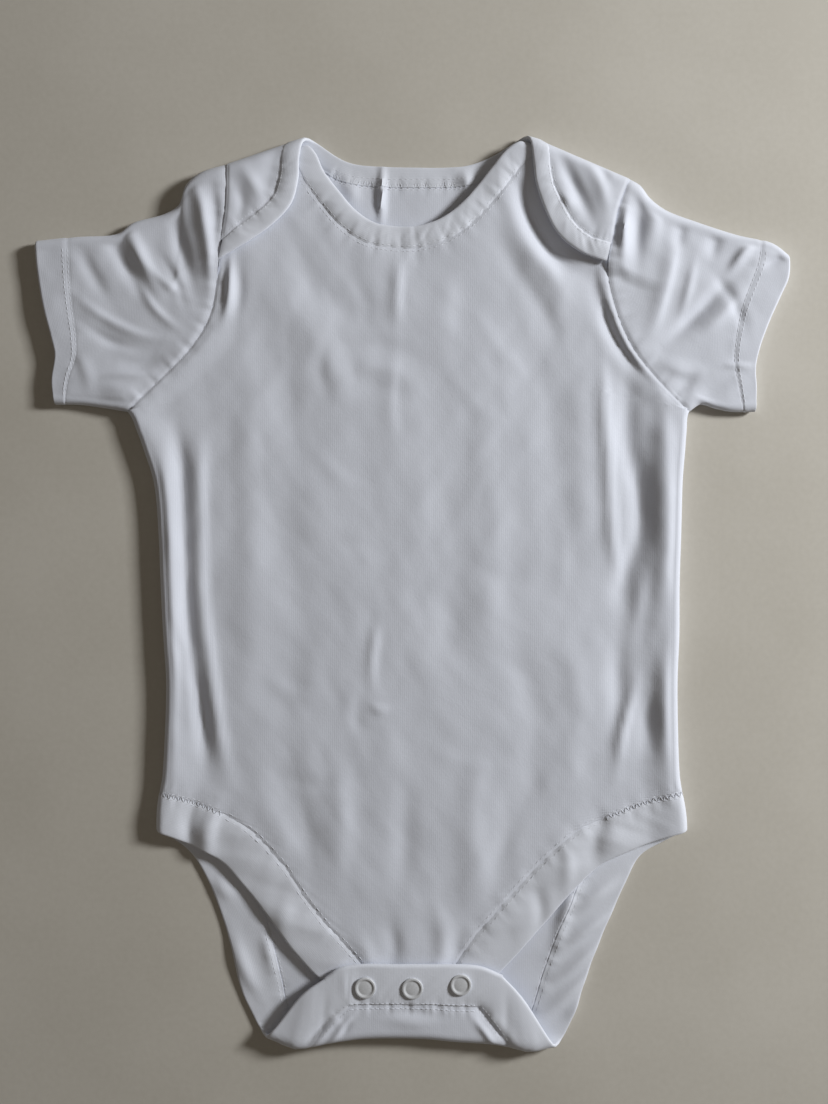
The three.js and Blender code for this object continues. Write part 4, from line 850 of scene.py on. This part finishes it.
def band_object(name, outer, inner, step, width):
    run = np.arange(len(outer)) * step
    uv = np.stack(np.broadcast_arrays(ACROSS[None] * width, run[:, None]), -1)
    return cloth_object(name, [(outer, inner, uv)], BINDING)


# Sleeves are flattened tubes
SLEEVE_ACROSS, SLEEVE_TURN = 96, 10
SLEEVE_RINGS = np.concatenate([
    np.linspace(0, 0.78, 64), np.linspace(0.78, 0.985, 22)[1:], [0.99, 0.995, 1]])


def sleeve_plan(side):
    """Plan of a sleeve: u from its seam to its cuff, w from its lower to its upper fold."""
    seam, cuff = Curve(ARMHOLES[side]), Curve(SLEEVES[side]["cuff"])
    lower, upper = Curve(SLEEVES[side]["lower"]), Curve(SLEEVES[side]["upper"])

    def plan(u, w):
        u, w = np.broadcast_arrays(np.asarray(u, float), np.asarray(w, float))
        near = mix(seam.at(0.0), seam.at(1.0), w[..., None])
        far = mix(cuff.at(0.0), cuff.at(1.0), w[..., None])
        return (mix(lower.at(u), upper.at(u), w[..., None]) + mix(seam.at(w), cuff.at(w), u[..., None])
                - mix(near, far, u[..., None]))

    return plan


def sleeve_height(side, plan, u, w):
    seam, spot = plan(0.0, w), plan(u, w)
    x, y = spot[..., 0], spot[..., 1]
    front = front_level(seam[..., 0], seam[..., 1])[0]
    seam_height = mix(front, LAP_TOP - 0.5, ease(137, 145, seam[..., 1]))
    level = mix(seam_height, SLEEVE_HEIGHT, ease(0, 0.5, u))
    free = ease(0, 0.05, w) * ease(1, 0.95, w) * ease(0, 0.05, u)
    seam_pull = seam_relief(x, y, ARMHOLE_SEAMS[side], 4.5, 0.35, 0.3)
    return level + free * (crease_rise(x, y, SLEEVE_CREASES[side]) + ripples(x, y)) + seam_pull


def sleeve_place(side, plan):
    """Walks round a ring: to 1 over the front, to 2 round the top, to 3 behind and to 4 round below."""
    def place(q):
        u, turn = np.clip(q[..., 0], 0, 1), np.mod(q[..., 1], 4)
        low_height = sleeve_height(side, plan, u, np.zeros_like(u))
        high_height = sleeve_height(side, plan, u, np.ones_like(u))
        low_end, high_end = plan(u, 0.0), plan(u, 1.0)
        length = np.linalg.norm(high_end - low_end, axis=-1)
        low_w, high_w = low_height / 2 / length, 1 - high_height / 2 / length
        at_top, at_bottom = (turn > 1) & (turn <= 2), turn > 3
        on_edge = at_top | at_bottom
        w = np.where(turn <= 1, mix(low_w, high_w, turn), mix(high_w, low_w, turn - 2))
        w = np.where(at_top, high_w, np.where(at_bottom, low_w, w))
        spot = plan(u, w)
        angle = np.where(at_top, turn - 1, 4 - turn) * math.pi
        edge = np.where(at_top[..., None], high_end, low_end)
        half = np.where(at_top, high_height, low_height) / 2
        spot = np.where(on_edge[..., None], mix(spot, edge, np.sin(angle)[..., None]), spot)
        hold = ease(0, 0.04, turn) * ease(1, 0.96, turn)
        over = mix(mix(low_height, high_height, ease(0, 1, turn)), sleeve_height(side, plan, u, w), hold)
        z = np.where(turn <= 1, over, np.where(on_edge, half * (1 + np.cos(angle)), 0))
        return np.concatenate([spot, z[..., None]], -1)

    return place


def sleeve_normal(place, q, sign):
    """Outward directions of a sleeve's face."""
    step = 0.003
    ahead = np.stack([np.clip(q[..., 0] + step, 0, 1), q[..., 1]], -1)
    behind = np.stack([np.clip(q[..., 0] - step, 0, 1), q[..., 1]], -1)
    around = place(q + np.array([0, step])) - place(q - np.array([0, step]))
    normal = np.cross(place(ahead) - place(behind), around)
    return sign * normal / np.linalg.norm(normal, axis=-1, keepdims=True)


def hem_raise(from_cuff, turns):
    """Height of the doubled hem over the sleeve, with a dent along its stitches."""
    dent = 0.22 * np.exp(-(((from_cuff - HEM_DEPTH + 0.6) / 0.9) ** 2))
    pull = 0.12 * gather_wave(turns * 40) * np.exp(-(((from_cuff - HEM_DEPTH) / 3.5) ** 2))
    return 0.2 * ease(HEM_DEPTH + 1.5, HEM_DEPTH - 2.5, from_cuff) - dent + pull


def sleeve(side, sign):
    place = sleeve_place(side, sleeve_plan(side))
    front, turn = even(SLEEVE_ACROSS), even(SLEEVE_TURN)[1:]
    turns = np.concatenate([front, 1 + turn, 2 + front[1:], 3 + turn])
    q = np.stack(np.broadcast_arrays(SLEEVE_RINGS[:, None], turns[None]), -1)
    outer, normal = place(q), sleeve_normal(place, q, sign)
    upper = Curve(SLEEVES[side]["upper"]).length[-1]
    from_cuff = (1 - SLEEVE_RINGS) * upper
    wall = mix(WALL, HEM_WALL, ease(HEM_DEPTH + 1, HEM_DEPTH - 1, from_cuff))
    draw = edge_draw(from_cuff, HEM_WALL)
    rise = hem_raise(from_cuff[:, None], turns[None]) - draw[:, None]
    raised = np.where(outer[..., 2] < 0.6, np.minimum(rise, 0), rise)
    inner = outer - normal * (wall - draw)[:, None, None]
    uv = np.stack(np.broadcast_arrays(SLEEVE_RINGS[:, None] * upper, turns[None] * 80.0), -1)
    uv[:, -1] = uv[:, 0]
    faces = (outer + normal * raised[..., None], inner, uv)
    return cloth_object(f"{side}_sleeve_cloth", [faces], JERSEY)


def front_panel():
    legs = {side: (LEGS[side]["front"].panel, 0.0, 1.0) for side in LEGS}
    body, laps, _ = panel_blocks(FRONT_NECK, legs, STRAPS, END_Y)
    return cloth_object("front_panel_cloth", [front_faces(p, WALL) for p in (body, *laps)], JERSEY)


def back_panel():
    curves = {side: LEGS[side]["back"].panel for side in LEGS}
    crotch = {side: curve.share_where(lambda x, y: y > CROTCH_START_Y, 0.5, 1.0)
              for side, curve in curves.items()}
    legs = {side: (curves[side], crotch[side], 0.0) for side in LEGS}
    body, laps, bottom = panel_blocks(BACK_NECK, legs, SHOULDERS, CROTCH_START_Y)
    rows = even(FLAP_ROWS)
    runs = {side: curves[side].at(mix(crotch[side], 1.0, rows)) for side in LEGS}
    end_y = float(CROTCH.unfold(0.0, END_Y + SEAM_LAP)[1])
    for side, run in runs.items():
        run[0] = bottom[0] if side == "left" else bottom[-1]
        run[-1, 1] = end_y
    end = straight(runs["left"][-1], runs["right"][-1], panel_columns())
    flap = fill_between(bottom, end, runs["left"], runs["right"], panel_columns(), rows)[::-1]
    return cloth_object("back_panel_cloth", [back_faces(p, WALL) for p in (body, *laps, flap)], JERSEY)


LEG_STEP, LEG_PUFF = 1.3, 0.55
NECK_STEP, NECK_PUFF = 1.1, 0.5
PLACKET_LENGTH = 76


def leg_band(side):
    front = band_faces(LEGS[side]["front"], front_faces, LEG_STEP, LEG_PUFF)
    back = band_faces(LEGS[side]["back"], back_faces, LEG_STEP, LEG_PUFF)
    outer, inner = (np.vstack([front[k], back[k][1:]]) for k in (0, 1))
    return band_object(f"{side}_leg_band_cloth", outer, inner, LEG_STEP, LEGS[side]["front"].width)


def neck_band(name, band, faces_of):
    return band_object(name, *band_faces(band, faces_of, NECK_STEP, NECK_PUFF), NECK_STEP, band.width)


def crotch_placket():
    """Doubled strip with the snaps, softly rolled and drawn in along both long edges."""
    columns, rows = even(72), even(24)
    top = spline(np.array([CROTCH.unfold(x, y) for x, y in PLACKET_EDGE]), columns)
    bottom = straight(CROTCH.unfold(*PLACKET_LEFT), CROTCH.unfold(*PLACKET_RIGHT), columns)
    left, right = straight(bottom[0], top[0], rows), straight(bottom[-1], top[-1], rows)
    p = fill_between(bottom, top, left, right, columns, rows)
    width = LEGS["left"]["back"].width
    run = columns[None] * PLACKET_LENGTH
    raised = band_raise(run, 1 - rows[:, None], width, PLACKET_LENGTH, LEG_PUFF)
    return cloth_object("crotch_placket_cloth", [back_faces(p, BAND_WALL, raised)], BINDING)


# Stitching: half a stitch is a share of the pitch, and a ring has its share of the way, size and lift
STITCH_PITCH = 2.2
STITCH_HALF = 0.38
THREAD_SHIFT = 0.03
HEM_LINES = (HEM_DEPTH - 0.6, HEM_DEPTH - 2.8)
THREAD_SIDES = 5
THREAD_RINGS = [
    (0.0, 0.5, -0.1), (0.16, 0.95, 0.0), (0.5, 1.0, 0.03), (0.84, 0.95, 0.0), (1.0, 0.5, -0.1)]


def threads(name, stitches):
    """Short rounded stitches, each an arched thread between two points."""
    starts, ends, normals = (np.vstack([group[k] for group in stitches]) for k in range(3))
    way = ends - starts
    slant = np.sum(normals * way, axis=1, keepdims=True) / np.sum(way * way, axis=1, keepdims=True)
    normals = normals - way * slant
    normals /= np.linalg.norm(normals, axis=1, keepdims=True)
    across = np.cross(way, normals)
    across /= np.linalg.norm(across, axis=1, keepdims=True)
    points = []
    for share, size, lift in THREAD_RINGS:
        middle = starts + way * share + normals * lift
        for k in range(THREAD_SIDES):
            turn = 2 * math.pi * k / THREAD_SIDES
            out = normals * math.cos(turn) + across * math.sin(turn)
            points.append(middle + THREAD_RADIUS * size * out)
    per = len(points)
    one = [tuple(range(THREAD_SIDES)), tuple(reversed(range(per - THREAD_SIDES, per)))]
    for ring in range(len(THREAD_RINGS) - 1):
        for k in range(THREAD_SIDES):
            a, b = ring * THREAD_SIDES + k, ring * THREAD_SIDES + (k + 1) % THREAD_SIDES
            one.append((a, a + THREAD_SIDES, b + THREAD_SIDES, b))
    faces = [tuple(v + per * n for v in face) for n in range(len(starts)) for face in one]
    obj = new_object(name, np.stack(points, 1).reshape(-1, 3), faces, THREAD)
    face_outwards(obj)
    obj.data.shade_smooth()
    return obj


def on_band(band, faces_of, run, across, puff, inside):
    """Spots and outward directions at runs along a band, across it or on the panel beside it."""
    across = np.full(run.shape, float(across))
    on = across <= 1
    raised = np.where(on, band_raise(run, np.clip(across, 0, 1), band.width, band.length, puff), 0.0)
    wall = np.where(on, BAND_WALL, WALL)[:, None]
    outer, inner, _ = faces_of(band.across(run / band.length, across), wall, raised)
    normal = outer - inner
    normal /= np.linalg.norm(normal, axis=1, keepdims=True)
    sunk = THREAD_SHIFT * normal
    return (inner + sunk, -normal) if inside else (outer - sunk, normal)


def stitch_rows(band, faces_of, puff, lines, pitch, start=0.0, stop=1.0, inside=False, zigzag=None):
    """Dashed stitch lines along a band, and a zigzag between two of its widths."""
    run = start * band.length + (np.arange(int((stop - start) * band.length / pitch)) + 0.5) * pitch
    run = run[(run > 1.2) & (run < band.length - 1.2)]

    def spots(shift, across):
        return on_band(band, faces_of, run + shift * pitch, across, puff, inside)

    stitches = []
    for across in lines:
        a, normal = spots(-STITCH_HALF, across)
        stitches.append((a, spots(STITCH_HALF, across)[0], normal))
    if zigzag:
        a, normal = spots(-0.25, zigzag[0])
        b, c = spots(0.25, zigzag[1])[0], spots(0.75, zigzag[0])[0]
        stitches += [(a, b, normal), (b, c, normal)]
    return stitches


# Rows of stitches as shares of a band's width, and where the zigzag starts as a share of its way
LEG_LINES = (0.9, 1.05)
NECK_LINES = (0.86, 1.1)
BACK_NECK_LINES = (0.62, 1.12)
BACK_NECK_ZIGZAG = (0.66, 1.08)
BACK_NECK_PITCH = 2.3
ZIGZAG_FROM = 0.74


def leg_rows(band, faces_of, start, stop, **kind):
    return stitch_rows(band, faces_of, LEG_PUFF, LEG_LINES, STITCH_PITCH, start, stop, **kind)


def neck_rows(band, faces_of, start, stop):
    return stitch_rows(band, faces_of, NECK_PUFF, NECK_LINES, STITCH_PITCH, start, stop)


def leg_stitches(side):
    front, back = LEGS[side]["front"], LEGS[side]["back"]
    stitches = leg_rows(front, front_faces, 0.0, ZIGZAG_FROM)
    stitches += leg_rows(front, front_faces, ZIGZAG_FROM, 1.0, zigzag=LEG_LINES)
    stitches += leg_rows(back, back_faces, 0.1, 0.78, inside=True)
    stitches += leg_rows(back, back_faces, 0.84, 1.0)
    return threads(f"{side}_leg_stitches", stitches)


def front_neck_stitches():
    return threads("front_neck_stitches", neck_rows(FRONT_NECK, front_faces, 0.27, 0.745))


def back_neck_stitches():
    rows = neck_rows(BACK_NECK, back_faces, 0.0, 0.27) + neck_rows(BACK_NECK, back_faces, 0.73, 1.0)
    rows += stitch_rows(BACK_NECK, back_faces, NECK_PUFF, BACK_NECK_LINES, BACK_NECK_PITCH, 0.34, 0.67,
                        inside=True, zigzag=BACK_NECK_ZIGZAG)
    return threads("back_neck_stitches", rows)


def placket_stitches():
    run = np.arange(-26.5, 27.5, STITCH_PITCH)
    rows = []
    for y, lift in ((-178.9, 0.28), (-181.6, 0.08)):
        line = np.full(len(run), y)
        a, b = (np.stack(CROTCH.unfold(run + shift, line), -1) for shift in (-0.85, 0.85))
        spot, normal = outward(place_back, a, 1)
        rows.append((spot + normal * lift, outward(place_back, b, 1)[0] + normal * lift, normal))
    return threads("placket_stitches", rows)


def hem_stitches(side, sign):
    """Twin rows of stitches that hold a sleeve's hem, over its upper face."""
    plan = sleeve_plan(side)
    place = sleeve_place(side, plan)
    upper = Curve(SLEEVES[side]["upper"]).length[-1]
    rows = []
    for depth in HEM_LINES:
        u = 1 - depth / upper
        step = HEM_PITCH / float(np.linalg.norm(plan(u, 1.0) - plan(u, 0.0)))
        turns = np.arange(0.03, 0.97, step)
        a, b = (np.stack([np.full(len(turns), u), turns + shift * step], -1)
                for shift in (-STITCH_HALF, STITCH_HALF))
        normal = sleeve_normal(place, a, sign)
        lift = normal * (hem_raise(depth, turns) + THREAD_SHIFT)[:, None]
        rows.append((place(a) + lift, place(b) + lift, normal))
    return threads(f"{side}_hem_stitches", rows)


# Materials
JERSEY_COLOUR = (0.76, 0.785, 0.86)
BINDING_COLOUR = (0.79, 0.815, 0.885)
JERSEY_WALE, BINDING_WALE = 0.0009, 0.0007
THREAD_DARK, THREAD_LIGHT = (0.76, 0.775, 0.82), (0.82, 0.835, 0.88)
SNAP_DARK, SNAP_LIGHT = (0.62, 0.63, 0.65), (0.7, 0.71, 0.73)
TABLE_DARK, TABLE_LIGHT = (0.57, 0.535, 0.465), (0.625, 0.59, 0.52)


def new_material(name, look):
    """A material with its shader's constant values, a maker of nodes and a finisher of the look."""
    material = bpy.data.materials.new(name)
    material.use_nodes = True
    nodes, links = material.node_tree.nodes, material.node_tree.links
    shader = nodes["Principled BSDF"]
    for key, value in look.items():
        shader.inputs[key].default_value = value

    def add(kind, inputs=None, **settings):
        node = nodes.new(kind)
        for key, value in settings.items():
            setattr(node, key, value)
        for key, value in (inputs or {}).items():
            if isinstance(value, bpy.types.NodeSocket):
                links.new(value, node.inputs[key])
            else:
                node.inputs[key].default_value = value
        return node

    def finish(factor, dark, light, low, high, height, strength, distance):
        """Two-tone colour from a factor and bumps from a height."""
        ramp = add("ShaderNodeValToRGB", {"Fac": factor})
        for element, position, colour in zip(ramp.color_ramp.elements, (low, high), (dark, light)):
            element.position = position
            element.color = (*colour, 1)
        links.new(ramp.outputs["Color"], shader.inputs["Base Color"])
        bump = add("ShaderNodeBump", {"Height": height, "Strength": strength, "Distance": distance})
        links.new(bump.outputs["Normal"], shader.inputs["Normal"])

    return material, add, finish


def knit_material(name, colour, wale):
    """Matte cotton knit: fine wales along the cut, uneven yarn and a soft bloom of fibre."""
    material, add, finish = new_material(name, {
        "Roughness": 0.94, "Specular IOR Level": 0.2, "Sheen Weight": 0.22, "Sheen Roughness": 0.55})
    cut = add("ShaderNodeUVMap", uv_map="cut").outputs["UV"]
    place = add("ShaderNodeTexCoord").outputs["Object"]
    wales = add("ShaderNodeTexWave", {
        "Vector": cut, "Scale": math.pi / (10 * wale), "Distortion": 1.6, "Detail Scale": 2.0},
        wave_type="BANDS", bands_direction="X").outputs["Fac"]
    yarn = add("ShaderNodeTexNoise", {"Vector": place, "Scale": 1100.0, "Detail": 3.0}).outputs["Fac"]
    slub = add("ShaderNodeTexNoise", {"Vector": place, "Scale": 260.0, "Detail": 4.0}).outputs["Fac"]
    fine = add("ShaderNodeMath", {0: wales, 1: 0.3, 2: yarn}, operation="MULTIPLY_ADD").outputs["Value"]
    height = add("ShaderNodeMath", {0: slub, 1: 1.6, 2: fine}, operation="MULTIPLY_ADD").outputs["Value"]
    cloud = add("ShaderNodeTexNoise", {"Vector": place, "Scale": 24.0, "Detail": 6.0}).outputs["Fac"]
    finish(cloud, [c * 0.94 for c in colour], colour, 0.3, 0.7, height, 0.3, 0.00014)
    return material


def thread_material():
    """Thread with a slight lustre and a fine twist."""
    material, add, finish = new_material("sewing_thread", {"Roughness": 0.6})
    place = add("ShaderNodeTexCoord").outputs["Object"]
    twist = add("ShaderNodeTexNoise", {"Vector": place, "Scale": 3000.0}).outputs["Fac"]
    finish(twist, THREAD_DARK, THREAD_LIGHT, 0.3, 0.7, twist, 0.3, 0.00005)
    return material


def snap_material():
    """White snap with a satin face."""
    material, add, finish = new_material("snap_white", {"Roughness": 0.36, "Coat Weight": 0.25})
    place = add("ShaderNodeTexCoord").outputs["Object"]
    grain = add("ShaderNodeTexNoise", {"Vector": place, "Scale": 1500.0}).outputs["Fac"]
    finish(grain, SNAP_DARK, SNAP_LIGHT, 0.3, 0.7, grain, 0.1, 0.00005)
    return material


def table_material():
    """Plain pale beige board with a very fine grain."""
    material, add, finish = new_material("pale_table", {"Roughness": 0.7})
    place = add("ShaderNodeTexCoord").outputs["Object"]
    grain = add("ShaderNodeTexNoise", {"Vector": place, "Scale": 400.0, "Detail": 6.0}).outputs["Fac"]
    broad = add("ShaderNodeTexNoise", {"Vector": place, "Scale": 14.0, "Detail": 3.0}).outputs["Fac"]
    both = add("ShaderNodeMath", {0: grain, 1: 0.5, 2: broad}, operation="MULTIPLY_ADD").outputs["Value"]
    finish(both, TABLE_DARK, TABLE_LIGHT, 0.55, 0.95, grain, 0.12, 0.0001)
    return material


# The CAD model is centred on its footprint, so this moves the cut's own places on to it
cap_low, cap_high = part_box("snap_cap_2")
cap_seat = strayed(np.array(SNAPS[1][0]), np.array(SNAPS[1][1]), np.array(0.0)) * 0.001
SHIFT = np.array([(cap_low.x + cap_high.x) / 2, (cap_low.y + cap_high.y) / 2, 0.0]) - cap_seat

JERSEY = knit_material("cotton_jersey", JERSEY_COLOUR, JERSEY_WALE)
BINDING = knit_material("cotton_binding", BINDING_COLOUR, BINDING_WALE)
THREAD = thread_material()
SNAP = snap_material()

# Snap: each row insets the face that was inset last and then raises or lowers it, in metres
SNAP_RADIUS, SNAP_EDGE = 0.0046, 0.001
SNAP_STEPS = [(0.00025, 0.0002), (0.0006, 0.00004), (0.00035, -0.00024), (0.0005, -0.00022),
              (0.00035, 0.00006), (0.0011, 0.00014)]


def snap(index, x, y):
    """A ring snap: a raised ring round a sunken crowned centre, shaped from a cylinder."""
    seat = place_back(np.array([CROTCH.unfold(x, y)]))[0] * 0.001 + SHIFT
    bpy.ops.object.select_all(action="DESELECT")
    middle = (seat[0], seat[1], seat[2] + SNAP_EDGE / 2)
    bpy.ops.mesh.primitive_cylinder_add(
        vertices=64, radius=SNAP_RADIUS, depth=SNAP_EDGE, location=middle)
    obj = bpy.context.object
    obj.name = f"snap_ring_{index}"
    bpy.ops.object.transform_apply(location=True, rotation=True, scale=True)
    bpy.ops.object.mode_set(mode="EDIT")
    work = bmesh.from_edit_mesh(obj.data)
    for face in work.faces:
        face.select_set(face.normal.z > 0.9)
    bmesh.update_edit_mesh(obj.data)
    for inset, rise in SNAP_STEPS:
        bpy.ops.mesh.inset(thickness=inset)
        bpy.ops.transform.translate(value=(0, 0, rise))
    bpy.ops.object.mode_set(mode="OBJECT")
    obj.data.materials.append(SNAP)
    bevel = obj.modifiers.new("round", "BEVEL")
    bevel.width, bevel.segments = 0.00012, 3
    bevel.limit_method, bevel.angle_limit = "ANGLE", math.radians(20)
    bpy.ops.object.modifier_apply(modifier="round")
    bpy.ops.object.shade_smooth()
    return obj


CLOTH = {
    "back_panel": back_panel(),
    "front_panel": front_panel(),
    "left_sleeve": sleeve("left", -1),
    "right_sleeve": sleeve("right", 1),
    "front_neck_band": neck_band("front_neck_band_cloth", FRONT_NECK, front_faces),
    "back_neck_band": neck_band("back_neck_band_cloth", BACK_NECK, back_faces),
    "left_leg_band": leg_band("left"),
    "right_leg_band": leg_band("right"),
    "crotch_placket": crotch_placket(),
}
STITCHES = {
    "left_sleeve": hem_stitches("left", -1),
    "right_sleeve": hem_stitches("right", 1),
    "front_neck_band": front_neck_stitches(),
    "back_neck_band": back_neck_stitches(),
    "left_leg_band": leg_stitches("left"),
    "right_leg_band": leg_stitches("right"),
    "crotch_placket": placket_stitches(),
}
for node, obj in CLOTH.items():
    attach(obj, "root")
    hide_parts(node)
for obj in STITCHES.values():
    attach(obj, "root")

for index, (x, y) in enumerate(SNAPS, 1):
    ring = snap(index, x, y)
    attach(ring, "root")
    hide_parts(f"snap_cap_{index}")
    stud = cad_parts[f"snap_stud_{index}"]
    stud.data.materials.clear()
    stud.data.materials.append(SNAP)


# Table, light and camera
def table():
    bpy.ops.object.select_all(action="DESELECT")
    bpy.ops.mesh.primitive_plane_add(size=4, location=(0, 0, -0.0002))
    obj = bpy.context.object
    obj.name = "pale_table"
    bpy.ops.object.transform_apply(location=True, rotation=True, scale=True)
    obj.data.materials.append(table_material())


def light(name, place, size, power, colour):
    data = bpy.data.lights.new(name, "AREA")
    data.size, data.energy, data.color = size, power, colour
    obj = bpy.data.objects.new(name, data)
    obj.location = place
    bpy.context.scene.collection.objects.link(obj)
    x, y, z = (-v for v in place)
    obj.rotation_euler = (math.atan2(math.hypot(x, y), -z), 0, math.atan2(y, x) - math.pi / 2)


def camera(distance, frame_height):
    data = bpy.data.cameras.new("camera")
    data.sensor_width = 36
    data.lens = 36 * distance / frame_height
    obj = bpy.data.objects.new("camera", data)
    obj.location = (0.0007, 0.0171, distance)
    bpy.context.scene.collection.objects.link(obj)
    bpy.context.scene.camera = obj


def room(colour, strength):
    world = bpy.data.worlds.new("soft_room")
    world.use_nodes = True
    background = world.node_tree.nodes["Background"]
    background.inputs["Color"].default_value = colour
    background.inputs["Strength"].default_value = strength
    bpy.context.scene.world = world


table()
light("window", (1.08, 0.42, 0.58), 0.24, 16.8, (0.96, 0.98, 1.0))
light("ceiling", (-0.3, -0.2, 1.5), 1.4, 1.0, (1.0, 0.92, 0.82))
room((1.0, 0.89, 0.76, 1), 0.075)
camera(0.55, 0.486)
bpy.context.scene.view_settings.view_transform = "Standard"
